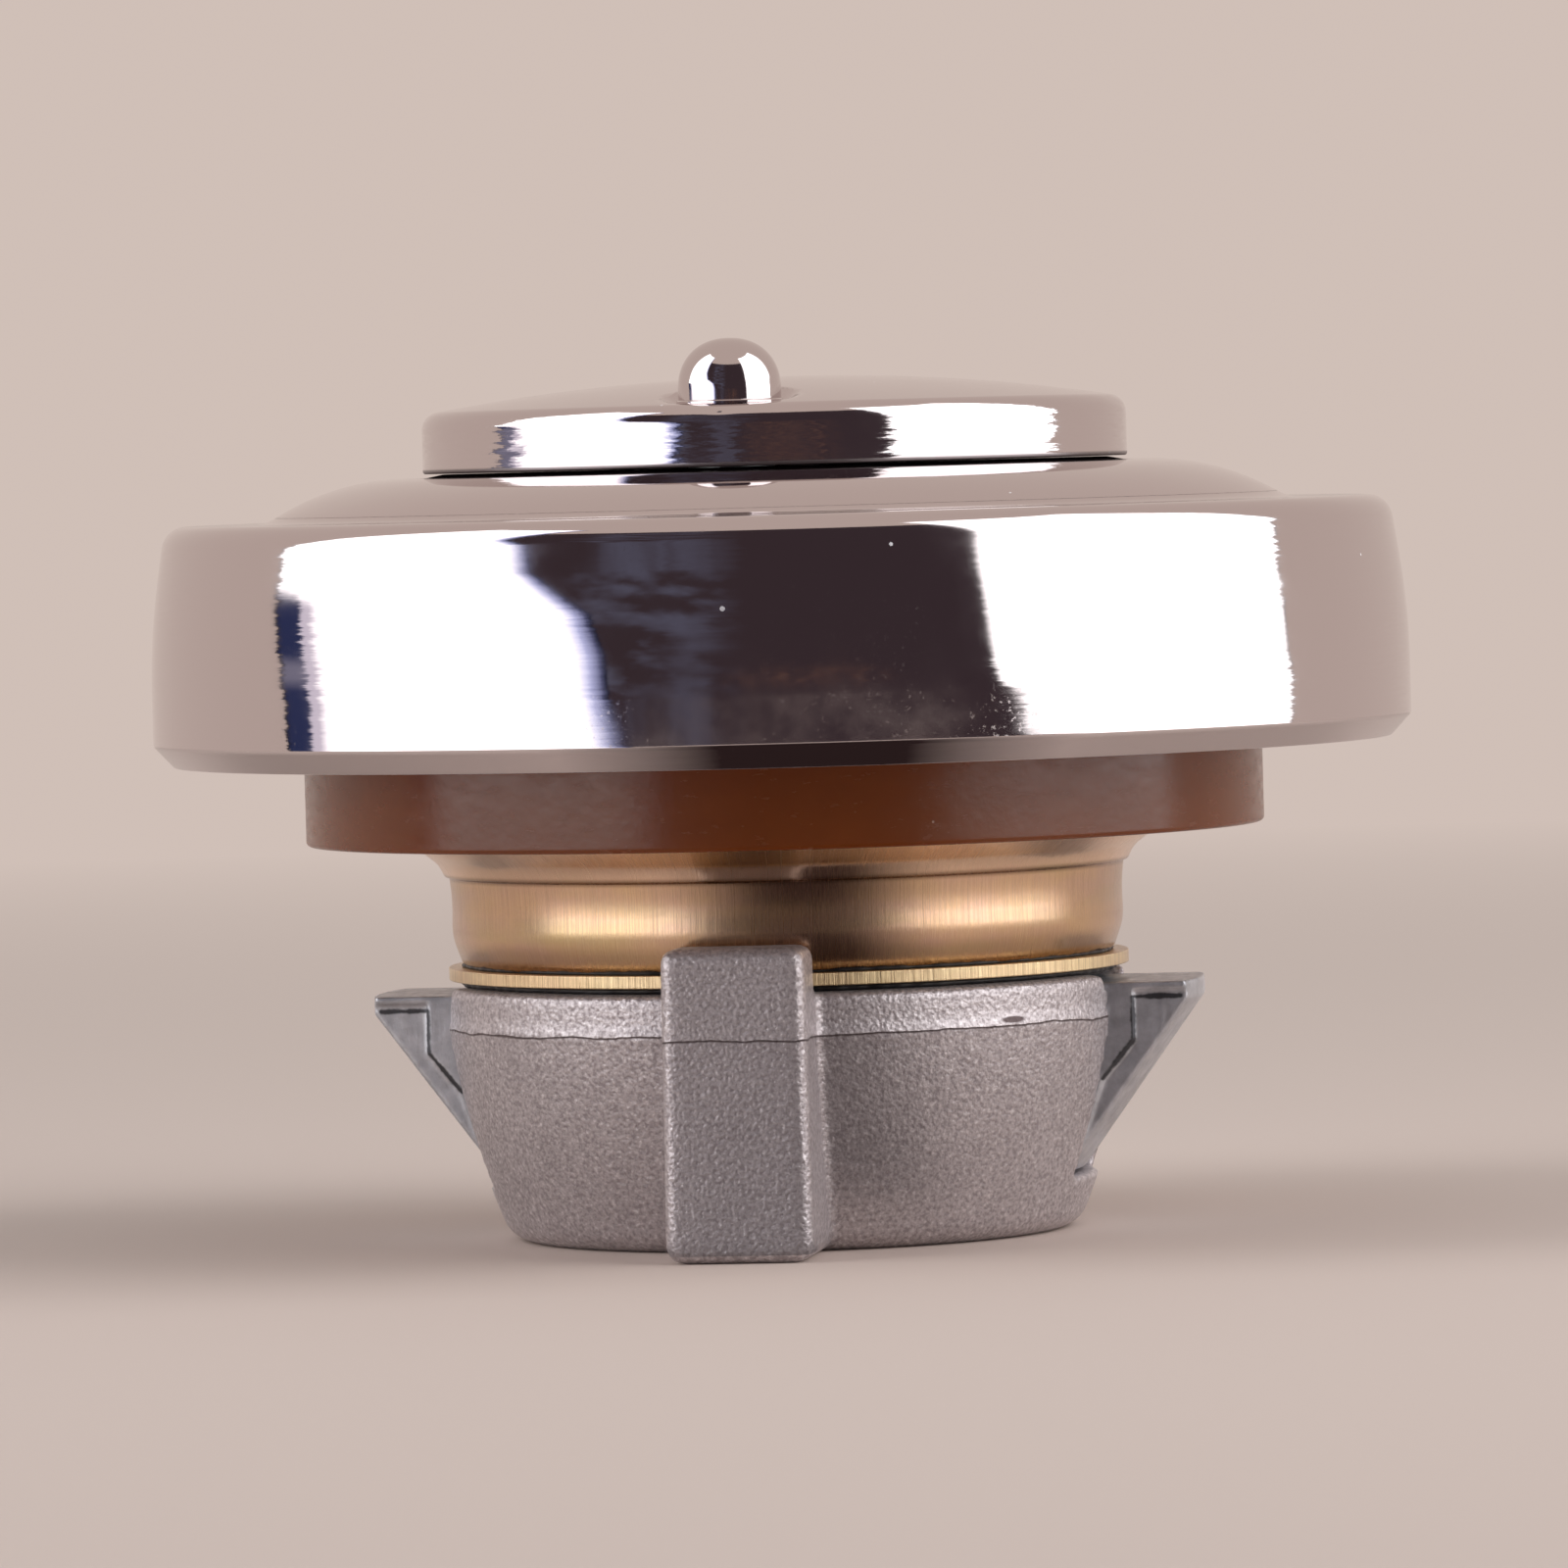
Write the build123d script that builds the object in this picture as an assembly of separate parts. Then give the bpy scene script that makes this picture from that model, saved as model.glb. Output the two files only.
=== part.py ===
from build123d import *
import os
from math import atan2, cos, degrees, hypot, pi, radians, sin, tan

# Locking fuel tank cap. Sizes are in millimetres.
# Z is the axis of the cap and points to the keyhole side, with the foot of the latch housing on Z = 0.
# The two fixed lugs point along Y, the two pawls along X.

# Latch housing, an aluminium casting
housing_height = 19.4
housing_top_radius = 26.0
housing_foot_radius = 21.4
housing_belly = 0.6
housing_foot_fillet = 2.4
housing_band_height = 3.2
housing_mouth_rounding = 1.4
housing_band_inset = 0.15
housing_flash = 0.15
housing_floor = 4.2
housing_core_floor = 3.2
housing_core_wall = 1.6
housing_core_reach = 20.4
centre_wall = 3.2

# Upright lugs of the casting
lug_reach = 31.4
lug_root = 20.8
lug_rise = 3.6
lug_foot_width = 10.9
lug_top_width = 10.6
lug_foot_corner = 1.3
lug_top_corner = 1.0
lug_rounding = 0.9

# Pawls, zinc castings
pawl_width = 13.0
pawl_reach = 31.4
pawl_head_drop = 0.7
pawl_land = 1.3
pawl_slope = 36.0
pawl_cheek = 0.3
pawl_lip = 0.5
cheek_reach = 26.7
cheek_knee_drop = 4.3
cheek_toe_drop = 7.2
cheek_toe_reach = 24.3
pawl_travel = 5.6
pawl_tail = 2.8
pin_radius = 1.3
pin_place = 11.2
slide_clearance = 0.3

# Pawl springs
spring_radius = 3.0
spring_wire = 0.35
spring_turns = 7
spring_pocket_depth = 9.0
spring_clearance = 0.3
spring_level = 9.6

# Latch cam
cam_radius = 13.6
cam_thickness = 2.0
cam_hub_height = 0.5
cam_turn = 90.0
cam_slot_overrun = 2.0
cam_slot_clearance = 0.15
cam_clearance = 0.4
cam_lift = 0.1

# Flat pieces between the casting and the cup
lid_seal_thickness = 0.45
lid_seal_radius = 24.9
lid_seal_relief = 0.4
lid_thickness = 0.95
lid_radius = 25.7
lid_lug_clearance = 0.3

# Sealing cup, pressed sheet
cup_sheet = 1.0
cup_radius = 25.9
cup_corner = 3.0
cup_wall_height = 6.2
cup_wall_taper = 0.25
cup_flare = 4.5
cup_flare_bend = 2.4
cup_drum_bend = 0.8
cup_flange_radius = 1.2

# Neck gasket, rubber
gasket_drop = 9.45
gasket_height = 7.25
gasket_width = 5.65
gasket_fit = 0.15
gasket_edge = 0.4

# Outer cover, pressed sheet
cover_radius = 47.5
cover_sheet = 1.0
cover_height = 21.5
cover_rim_inset = 1.5
cover_bevel_height = 1.6
cover_wall_height = 8.2
cover_draft_inset = 1.3
cover_wall_bend = 60.0
cover_corner = 2.0
cover_shoulder_drop = 3.4
cover_dome_radius = 38.6
cover_platform_radius = 27.2
cover_foot_radius = 3.0
cover_bevel_bend = 0.8
cover_recess_bend = 0.4
cover_crimp = 2.5
crimp_clearance = 0.2

# Lock barrel and its nut and seal
barrel_radius = 10.0
barrel_flange_radius = 14.6
barrel_flange_thickness = 1.1
barrel_spigot_radius = 8.5
barrel_end_wall = 4.0
barrel_fit = 0.1
barrel_sink = 0.1
barrel_nut_height = 3.0
barrel_nut_flats = 24.0
barrel_seal_wire = 1.0
barrel_seal_touch = 0.02
barrel_groove_depth = 1.2

# Lock plug, its wafers and its clip
plug_radius = 6.5
plug_head_radius = 8.0
plug_head_thickness = 1.2
plug_sink = 0.2
plug_clearance = 0.05
plug_end_gap = 0.1
plug_tail_radius = 4.0
plug_tip_radius = 3.0
plug_tip_flats = 4.4
key_slot_width = 2.4
key_slot_length = 8.6
key_slot_depth = 24.0
wafer_count = 5
wafer_pitch = 3.0
wafer_depth = 5.0
wafer_thickness = 1.0
wafer_width = 4.8
wafer_window_width = 2.7
wafer_window_length = 6.8
wafer_clearance = 0.06
clip_thickness = 0.6
clip_radius = 5.4
clip_groove = 0.7
clip_gap = 0.15
clip_mouth = 4.6

# Shutter over the keyhole, pressed sheet, and what carries it
shutter_radius = 26.6
shutter_sheet = 1.0
shutter_lift = 0.3
shutter_skirt = 4.2
shutter_crown = 2.2
shutter_corner = 1.5
shutter_seat_rise = 0.1
shutter_seat_radius = 4.0
pivot_reach = 21.4
pivot_bearing = 0.8
stud_shank_radius = 2.0
stud_head_radius = 3.8
stud_head_height = 4.85
stud_foot_radius = 3.95
stud_foot_height = 0.3
stud_clearance = 0.06
stud_rivet_radius = 3.0
stud_rivet_height = 0.9
backing_washer_radius = 4.6
backing_washer_thickness = 1.0
spacer_radius = 3.2
spring_washer_radius = 3.5
spring_washer_thickness = 0.3
spring_washer_rise = 0.2

# Screws that hold the casting to the cup, and the breather
screw_circle = 18.5
screw_bearing = 45.0
screw_count = 4
screw_radius = 1.75
screw_head_radius = 3.0
screw_head_height = 2.0
screw_grip = 9.0
screw_fit = 0.1
screw_boss_wall = 2.2
screw_recess_length = 3.4
screw_recess_width = 0.9
screw_recess_depth = 1.1
felt_height = 4.0
felt_gap = 0.2
vent_radius = 0.8

# Levels up the axis, from the stack of pieces
lug_height = housing_height + lug_rise
lid_bottom = housing_height + lid_seal_thickness
lid_top = lid_bottom + lid_thickness
cup_floor_top = lid_top + cup_sheet
gasket_bottom = lid_top + gasket_drop
flange_level = gasket_bottom + gasket_height
cover_bottom = flange_level - cover_sheet
platform_level = cover_bottom + cover_height
shoulder_level = platform_level - cover_shoulder_drop
recess_floor = platform_level - barrel_sink - barrel_flange_thickness
barrel_top = platform_level - barrel_sink
shutter_bottom = platform_level + shutter_lift
shutter_edge = shutter_bottom + shutter_skirt
shutter_seat = shutter_edge + shutter_seat_rise

# Levels of the latch, down from the lid
barrel_bottom = lid_bottom
clip_top = barrel_bottom - clip_gap
clip_bottom = clip_top - clip_thickness
cam_hub_top = clip_bottom - clip_gap
cam_top = cam_hub_top - cam_hub_height
cam_bottom = cam_top - cam_thickness
cam_floor = cam_bottom - cam_lift
pawl_top = housing_height - pawl_head_drop
pawl_bottom = housing_floor + slide_clearance
pawl_back_top = cam_floor - slide_clearance

# Radii that follow from their neighbours
channel_width = pawl_width + 2 * slide_clearance
cam_pocket_radius = cam_radius + cam_clearance
pawl_head_start = cam_pocket_radius + slide_clearance + pawl_travel
pawl_inner_end = pin_place - pawl_tail
drum_radius = cup_radius + cup_flare
gasket_bore = drum_radius + gasket_fit
gasket_radius = gasket_bore + gasket_width
cover_rim_radius = cover_radius - cover_rim_inset
shutter_crown_level = shutter_edge + shutter_crown
plug_tail_hole = plug_tail_radius + plug_clearance


def pivot():
    """Place of the shutter's pivot axis, near the front of the platform."""
    bearing = radians(pivot_bearing)
    return Pos(-pivot_reach * sin(bearing), -pivot_reach * cos(bearing), 0)


def section_turned(section):
    """Turn a section drawn as radius and level about the axis."""
    return revolve(Plane.XZ * section, Axis.Z)


def turned(points, radii=None):
    """Turn a closed outline of (radius, level) points, with a rounding for each corner if given."""
    if radii:
        return section_turned(make_face(FilletPolyline(*points, radius=radii, close=True)))
    return section_turned(make_face(Polyline(*points, close=True)))


def ring(inner, outer, bottom, top):
    """Plain washer, tube or disc between two levels."""
    return turned([(inner, bottom), (outer, bottom), (outer, top), (inner, top)])


def prism(points, width):
    """Outline of (x, z) points, with this width across Y."""
    return extrude(Plane.XZ * make_face(Polyline(*points, close=True)), amount=width / 2, both=True)


def on_both_sides(shape):
    """The shape and its copy half a turn further on."""
    return shape + shape.rotate(Axis.Z, 180)


def heading(start, end):
    """Unit vector from one point to the next."""
    length = hypot(end[0] - start[0], end[1] - start[1])
    return (end[0] - start[0]) / length, (end[1] - start[1]) / length


def moved_left(points, depth):
    """The same outline, moved to the left of its run by depth."""
    runs = [heading(a, b) for a, b in zip(points, points[1:])]
    before = [runs[0]] + runs
    after = runs + [runs[-1]]
    moved = []
    for (x, z), (ax, az), (bx, bz) in zip(points, before, after):
        share = depth / (1 + ax * bx + az * bz)
        moved.append((x - (az + bz) * share, z + (ax + bx) * share))
    return moved


def left_side_radii(points, radii, depth):
    """Bend radii on the left face of a sheet: smaller at left turns, larger at right turns."""
    sides = []
    for a, b, c, radius in zip(points, points[1:], points[2:], radii):
        run_in = heading(a, b)
        run_out = heading(b, c)
        turn = run_in[0] * run_out[1] - run_in[1] * run_out[0]
        inside = radius - depth if turn > 0 else radius + depth
        sides.append(max(inside, 0) if radius else 0)
    return sides


def bends_that_fit(points, radii):
    """The bend radii, made smaller beside a run that is too short for the bends at its two ends."""
    usable = 0.98
    runs = [hypot(b[0] - a[0], b[1] - a[1]) for a, b in zip(points, points[1:])]
    headings = [heading(a, b) for a, b in zip(points, points[1:])]
    tangents = []
    for (ax, az), (bx, bz), radius in zip(headings, headings[1:], radii):
        turn = abs(atan2(ax * bz - az * bx, ax * bx + az * bz))
        tangents.append(radius * tan(turn / 2))
    needed = [a + b for a, b in zip([0] + tangents, tangents + [0])]
    shares = [min(1, usable * run / need) if need else 1 for run, need in zip(runs, needed)]
    return [radius * min(a, b) for radius, a, b in zip(radii, shares, shares[1:])]


def pressed(points, radii, sheet):
    """Turned sheet of even thickness. The outline is its outer face, with the metal on the left."""
    inner_points = moved_left(points, sheet)
    outer_radii = bends_that_fit(points, radii)
    inner_radii = bends_that_fit(inner_points, left_side_radii(points, outer_radii, sheet))
    outer = FilletPolyline(*points, radius=outer_radii)
    inner = FilletPolyline(*inner_points, radius=inner_radii)
    start = Line(points[0], inner_points[0])
    end = Line(points[-1], inner_points[-1])
    return section_turned(make_face([outer, end, inner, start]))


def bend_for_run(run, turn):
    """Radius of a bend whose tangent on each side has this length."""
    return run / tan(turn / 2)


def at_screws(shape):
    """Copies of a shape at the four screws."""
    step = 360 / screw_count
    places = [Rot(0, 0, screw_bearing + step * i) * Pos(screw_circle, 0, 0) for i in range(screw_count)]
    return Part() + [place * shape for place in places]


def housing_form():
    """Outside of the casting: bellied wall, parting flash and the band above it."""
    parting = housing_height - housing_band_height
    band = housing_top_radius - housing_band_inset
    middle = (housing_foot_radius + housing_top_radius) / 2 + housing_belly
    wall = ThreePointArc((housing_foot_radius, 0), (middle, parting / 2), (housing_top_radius, parting))
    upper = Polyline(
        (housing_top_radius, parting),
        (housing_top_radius + housing_flash, parting + housing_flash),
        (band, parting + 2 * housing_flash),
        (band, housing_height - 2 * housing_flash),
        (band - 2 * housing_flash, housing_height),
        (0, housing_height),
        (0, 0),
        (housing_foot_radius, 0),
    )
    form = section_turned(make_face([wall, upper]))
    return fillet(form.edges().sort_by(Axis.Z)[0], housing_foot_fillet)


def lug():
    """Upright lug towards -Y, wider at its foot, its upper part standing clear of the lid."""
    corners = [
        (-lug_foot_width / 2, 0),
        (lug_foot_width / 2, 0),
        (lug_top_width / 2, lug_height),
        (-lug_top_width / 2, lug_height),
    ]
    roundings = [lug_foot_corner, lug_foot_corner, lug_top_corner, lug_top_corner]
    front = make_face(FilletPolyline(*corners, radius=roundings, close=True))
    block = extrude(Plane.XZ.offset(lug_root) * front, amount=lug_reach - lug_root)
    block = fillet(block.faces().sort_by(Axis.Y)[0].edges(), lug_rounding)
    above = ring(0, lid_radius + lid_lug_clearance, housing_height, lug_height + lug_rounding)
    return block - above


def pawl_channels():
    """The two channels that the pawls slide in, open to the side and to the top."""
    start = centre_wall / 2
    beyond = housing_top_radius + channel_width
    channel = prism(
        [(start, housing_floor), (beyond, housing_floor), (beyond, lug_height), (start, lug_height)],
        channel_width,
    )
    return on_both_sides(channel) + channel_mouths()


def channel_mouths():
    """What the rounding of the channels' upper edges takes away, outside the cam's pocket."""
    side = channel_width / 2
    size = housing_mouth_rounding
    low = housing_height - size
    hip = (side + size * (1 - sin(radians(45))), low + size * sin(radians(45)))
    section = make_face(
        [
            ThreePointArc((side, low), hip, (side + size, housing_height)),
            Polyline((side + size, housing_height), (side, housing_height), (side, low)),
        ]
    )
    start = cam_pocket_radius + housing_core_wall
    edge = extrude(Plane.YZ.offset(start) * section, amount=housing_top_radius - start + size)
    edges = edge + mirror(edge, Plane.XZ)
    return on_both_sides(edges)


def core_pockets():
    """Arc pockets beside the cam, between the screw bosses, that keep the casting's walls even."""
    inner = cam_pocket_radius + housing_core_wall
    boss = screw_radius + screw_boss_wall
    edge = screw_bearing + degrees(boss / screw_circle)
    span = 180 - 2 * edge
    outline = Polyline(
        (inner, housing_core_floor),
        (housing_core_reach, housing_core_floor),
        (housing_core_reach, housing_height),
        (inner, housing_height),
        close=True,
    )
    pocket = revolve(Plane.XZ * make_face(outline), Axis.Z, revolution_arc=span)
    return on_both_sides(pocket.rotate(Axis.Z, edge))


def latch_housing():
    """Casting with lugs, pawl channels, cam pocket and screw holes."""
    body = housing_form() + on_both_sides(lug())
    body -= ring(0, cam_pocket_radius, cam_floor, housing_height)
    body -= pawl_channels()
    body -= core_pockets()
    screw_hole = ring(0, screw_radius + screw_fit / 2, housing_height - screw_grip, housing_height)
    return body - at_screws(screw_hole)


def pawl_outline(reach_points):
    """Side outline of a pawl: low back under the cam, raised head outside it."""
    back = [
        (pawl_head_start, pawl_top),
        (pawl_head_start, pawl_back_top),
        (pawl_inner_end, pawl_back_top),
        (pawl_inner_end, pawl_bottom),
    ]
    return back + reach_points


def pawl():
    """Pawl towards +X: guide cheeks, thinner blade, top lip, cam pin and spring pocket."""
    beyond = pawl_reach + pawl_land
    foot_reach = pawl_reach - (pawl_top - pawl_land - pawl_bottom) * tan(radians(pawl_slope))
    cheek_foot = foot_reach - pawl_cheek
    blade = prism(
        pawl_outline([(beyond, pawl_bottom), (beyond, pawl_top)]),
        pawl_width - 2 * pawl_cheek,
    )
    cheeks = prism(
        pawl_outline(
            [
                (cheek_foot, pawl_bottom),
                (cheek_toe_reach, pawl_top - cheek_toe_drop),
                (cheek_reach, pawl_top - cheek_knee_drop),
                (cheek_reach, pawl_top),
            ]
        ),
        pawl_width,
    )
    lip = prism(
        [
            (pawl_head_start, pawl_top - pawl_lip),
            (beyond, pawl_top - pawl_lip),
            (beyond, pawl_top),
            (pawl_head_start, pawl_top),
        ],
        pawl_width,
    )
    cone = turned(
        [
            (0, pawl_bottom),
            (foot_reach, pawl_bottom),
            (pawl_reach, pawl_top - pawl_land),
            (pawl_reach, pawl_top),
            (0, pawl_top),
        ]
    )
    pin = Pos(pin_place, 0, 0) * ring(0, pin_radius, pawl_back_top, cam_top)
    pocket_radius = spring_radius + spring_clearance
    pocket = ring(0, pocket_radius, pawl_inner_end, pawl_inner_end + spring_pocket_depth)
    return ((blade + cheeks + lip) & cone) + pin - along_x(pocket)


def along_x(shape):
    """Lay a piece turned about Z along +X at the level of the pawl springs."""
    return Pos(0, 0, spring_level) * shape.rotate(Axis.Y, 90)


def pawl_spring():
    """Coil spring from the casting's centre wall to the end of the pawl's pocket."""
    start = centre_wall / 2 + spring_wire
    length = pawl_inner_end + spring_pocket_depth - spring_wire - start
    coil_radius = spring_radius - spring_wire
    path = Pos(0, 0, start) * Helix(length / spring_turns, length, coil_radius)
    wire = Plane(path @ 0, z_dir=path % 0) * Circle(spring_wire)
    return along_x(sweep(wire, path))


def spiral_slot():
    """Slot in the cam, its radius falling evenly with the turn, so that it draws a pin inwards."""
    per_radian = pawl_travel / radians(cam_turn)
    half_width = pin_radius + cam_slot_clearance
    overrun = radians(cam_slot_overrun)
    steps = 12
    outer = []
    inner = []
    ends = []
    for i in range(steps + 1):
        angle = overrun - (radians(cam_turn) + 2 * overrun) * i / steps
        radius = pin_place + per_radian * angle
        centre = Vector(radius * cos(angle), radius * sin(angle))
        run = Vector(per_radian * cos(angle) - radius * sin(angle), per_radian * sin(angle) + radius * cos(angle))
        run = run.normalized()
        side = Vector(run.Y, -run.X) * half_width
        outer.append(centre + side)
        inner.append(centre - side)
        ends.append((centre, run * half_width))
    first = ThreePointArc(outer[0], ends[0][0] + ends[0][1], inner[0])
    last = ThreePointArc(outer[-1], ends[-1][0] - ends[-1][1], inner[-1])
    return make_face([Spline(*outer), last, Spline(*inner), first])


def tail_flats(radius, flats):
    """Round with two flats, the form of the plug's tip and of the hole that it drives."""
    return Circle(radius) & Rectangle(flats, 2 * radius)


def latch_cam():
    """Disc with two spiral slots, a low hub and a hole with flats for the plug's tip."""
    disc = Circle(cam_radius)
    slot = spiral_slot()
    disc -= slot
    disc -= slot.rotate(Axis.Z, 180)
    hub_radius = pin_place - pawl_travel - pin_radius - 2 * cam_slot_clearance
    cam = Pos(0, 0, cam_bottom) * extrude(disc, amount=cam_thickness)
    cam += ring(0, hub_radius, cam_top, cam_hub_top)
    hole = tail_flats(plug_tip_radius + plug_clearance, plug_tip_flats + 2 * plug_clearance)
    return cam - Pos(0, 0, cam_bottom) * extrude(hole, amount=cam_thickness + cam_hub_height)


def lid_seal():
    """Black flat seal between the casting and the lid, open over the cam."""
    seal = ring(cam_pocket_radius + lid_seal_relief, lid_seal_radius, housing_height, lid_bottom)
    return seal - at_screws(ring(0, screw_radius + screw_fit, housing_height, lid_bottom))


def breather_hole():
    """Small hole under the felt, from the cup down to the cam pocket."""
    place = (felt_inner_radius() + felt_outer_radius()) / 2
    reach = min(place, cam_pocket_radius - vent_radius)
    return Pos(reach, 0, 0) * ring(0, vent_radius, lid_bottom, cup_floor_top)


def lid_plate():
    """Plated disc that closes the casting and holds the cam in its pocket."""
    plate = ring(barrel_spigot_radius + barrel_fit, lid_radius, lid_bottom, lid_top)
    plate -= at_screws(ring(0, screw_radius + screw_fit, lid_bottom, lid_top))
    return plate - breather_hole()


def sealing_cup():
    """Plated cup: floor, short tapered wall, flare, drum and crimped flange."""
    wall_top = lid_top + cup_wall_height
    flange_edge = cover_rim_radius - cover_sheet * tan(bevel_angle() / 2) - crimp_clearance
    points = [
        (barrel_spigot_radius + barrel_fit, lid_top),
        (cup_radius - cup_wall_taper, lid_top),
        (cup_radius, wall_top),
        (drum_radius, wall_top + cup_flare),
        (drum_radius, flange_level),
        (flange_edge, flange_level),
    ]
    radii = [cup_corner, cup_flare_bend, cup_drum_bend, cup_flange_radius]
    cup = pressed(points, radii, cup_sheet)
    cup -= at_screws(ring(0, screw_radius + screw_fit, lid_top, cup_floor_top))
    return cup - breather_hole()


def neck_gasket():
    """Deep rubber ring round the drum, which seals on the rim of the filler neck."""
    points = [
        (gasket_bore, gasket_bottom),
        (gasket_radius, gasket_bottom),
        (gasket_radius, flange_level),
        (gasket_bore, flange_level),
    ]
    bend_relief = cup_flange_radius + gasket_edge
    return turned(points, [gasket_edge, gasket_edge, gasket_edge, bend_relief])


def bevel_angle():
    """Slope of the bevel at the cover's lower edge, from level."""
    return atan2(cover_bevel_height, cover_rim_inset)


def outer_cover():
    """Chromed cover: lip crimped under the flange, bevel, barrel wall, shoulder, dome and recess."""
    bevel_top = cover_bottom + cover_bevel_height
    corner = (cover_radius - cover_draft_inset, shoulder_level)
    slope = atan2(cover_shoulder_drop, cover_dome_radius - dome_corner())
    foot_run = cover_foot_radius * tan(slope / 2)
    dome_run = hypot(cover_shoulder_drop, cover_dome_radius - dome_corner()) - foot_run
    dome_room = dome_corner() - barrel_flange_radius - barrel_fit - cover_sheet
    recess_edge = barrel_flange_radius + barrel_fit
    points = [
        (cover_rim_radius - cover_crimp, cover_bottom),
        (cover_rim_radius, cover_bottom),
        (cover_radius, bevel_top),
        (cover_radius, bevel_top + cover_wall_height),
        corner,
        (cover_dome_radius, shoulder_level),
        (dome_corner(), platform_level),
        (recess_edge, platform_level),
        (recess_edge, recess_floor),
        (barrel_radius + barrel_fit, recess_floor),
    ]
    dome_bend = bend_for_run(min(dome_run, dome_room), slope)
    radii = [
        0,
        cover_bevel_bend,
        cover_wall_bend,
        cover_corner,
        cover_foot_radius,
        dome_bend,
        cover_recess_bend,
        0,
    ]
    cover = pressed(points, radii, cover_sheet)
    stud_hole = ring(0, stud_shank_radius + stud_clearance, shoulder_level - cover_sheet, platform_level)
    return cover - pivot() * stud_hole


def dome_corner():
    """Radius where the platform's level meets the slope of the dome."""
    return (cover_platform_radius + cover_dome_radius) / 2


def lock_barrel():
    """Turned barrel: flange in the cover's recess, body, and spigot through the cup and lid."""
    bore = plug_radius + plug_clearance
    counterbore = plug_head_radius + plug_clearance
    head_seat = barrel_top - plug_sink - plug_head_thickness - plug_clearance
    end_wall_top = barrel_bottom + barrel_end_wall
    barrel = turned(
        [
            (plug_tail_hole, barrel_bottom),
            (barrel_spigot_radius, barrel_bottom),
            (barrel_spigot_radius, cup_floor_top),
            (barrel_radius, cup_floor_top),
            (barrel_radius, recess_floor),
            (barrel_flange_radius, recess_floor),
            (barrel_flange_radius, barrel_top),
            (counterbore, barrel_top),
            (counterbore, head_seat),
            (bore, head_seat),
            (bore, end_wall_top),
            (plug_tail_hole, end_wall_top),
        ]
    )
    low, high = wafer_levels()[-1], wafer_levels()[0]
    groove = Box(
        wafer_width + 2 * wafer_clearance,
        2 * (bore + barrel_groove_depth),
        high - low + 2 * wafer_thickness,
    )
    return barrel - Pos(0, 0, (low + high) / 2) * groove


def barrel_nut():
    """Hexagon nut that draws the barrel's flange down on the cover."""
    top = recess_floor - cover_sheet
    hexagon = RegularPolygon(barrel_nut_flats / 2, 6, major_radius=False)
    blank = Pos(0, 0, top - barrel_nut_height) * extrude(hexagon, amount=barrel_nut_height)
    return blank - ring(0, barrel_radius + barrel_fit / 2, top - barrel_nut_height, top)


def barrel_seal():
    """Rubber ring in the corner between the barrel and the cup's floor."""
    centre = barrel_seal_wire + barrel_seal_touch
    return Pos(0, 0, cup_floor_top + centre) * Torus(barrel_radius + centre, barrel_seal_wire)


def wafer_levels():
    """Middle level of each wafer, from the top one down."""
    first = barrel_top - plug_sink - wafer_depth
    return [first - wafer_pitch * i for i in range(wafer_count)]


def lock_plug():
    """Turned plug with its key slot, the slots for the wafers, a clip groove and a flatted tip."""
    top = barrel_top - plug_sink
    head_seat = top - plug_head_thickness
    body_end = barrel_bottom + barrel_end_wall + plug_end_gap
    neck = plug_tail_radius - clip_groove
    plug = turned(
        [
            (0, cam_hub_top),
            (plug_tail_radius, cam_hub_top),
            (plug_tail_radius, clip_bottom - plug_clearance),
            (neck, clip_bottom - plug_clearance),
            (neck, clip_top + plug_clearance),
            (plug_tail_radius, clip_top + plug_clearance),
            (plug_tail_radius, body_end),
            (plug_radius, body_end),
            (plug_radius, head_seat),
            (plug_head_radius, head_seat),
            (plug_head_radius, top),
            (0, top),
        ]
    )
    tip_length = cam_hub_height + cam_thickness
    plug += Pos(0, 0, cam_bottom) * extrude(tail_flats(plug_tip_radius, plug_tip_flats), amount=tip_length)
    plug -= Pos(0, 0, top - key_slot_depth / 2) * Box(key_slot_width, key_slot_length, key_slot_depth)
    slot = Box(
        wafer_width + 2 * wafer_clearance,
        2 * plug_head_radius,
        wafer_thickness + 2 * wafer_clearance,
    )
    for level in wafer_levels():
        plug -= Pos(0, 0, level) * slot
    return plug


def plug_wafers():
    """Wafers drawn flush inside the plug, as they lie with the key in."""
    height = ring(0, plug_radius - wafer_clearance, -wafer_thickness / 2, wafer_thickness / 2)
    wafer = height & Box(wafer_width, 2 * plug_radius, wafer_thickness)
    wafer -= Box(wafer_window_width, wafer_window_length, wafer_thickness)
    return Part() + [Pos(0, 0, level) * wafer for level in wafer_levels()]


def plug_clip():
    """Open clip in the groove of the plug's tail, which keeps the plug in the barrel."""
    inner = plug_tail_radius - clip_groove + plug_clearance
    clip = ring(inner, clip_radius, clip_bottom, clip_top)
    middle = (clip_bottom + clip_top) / 2
    return clip - Pos(0, clip_radius, middle) * Box(clip_mouth, 2 * clip_radius, clip_thickness)


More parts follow.
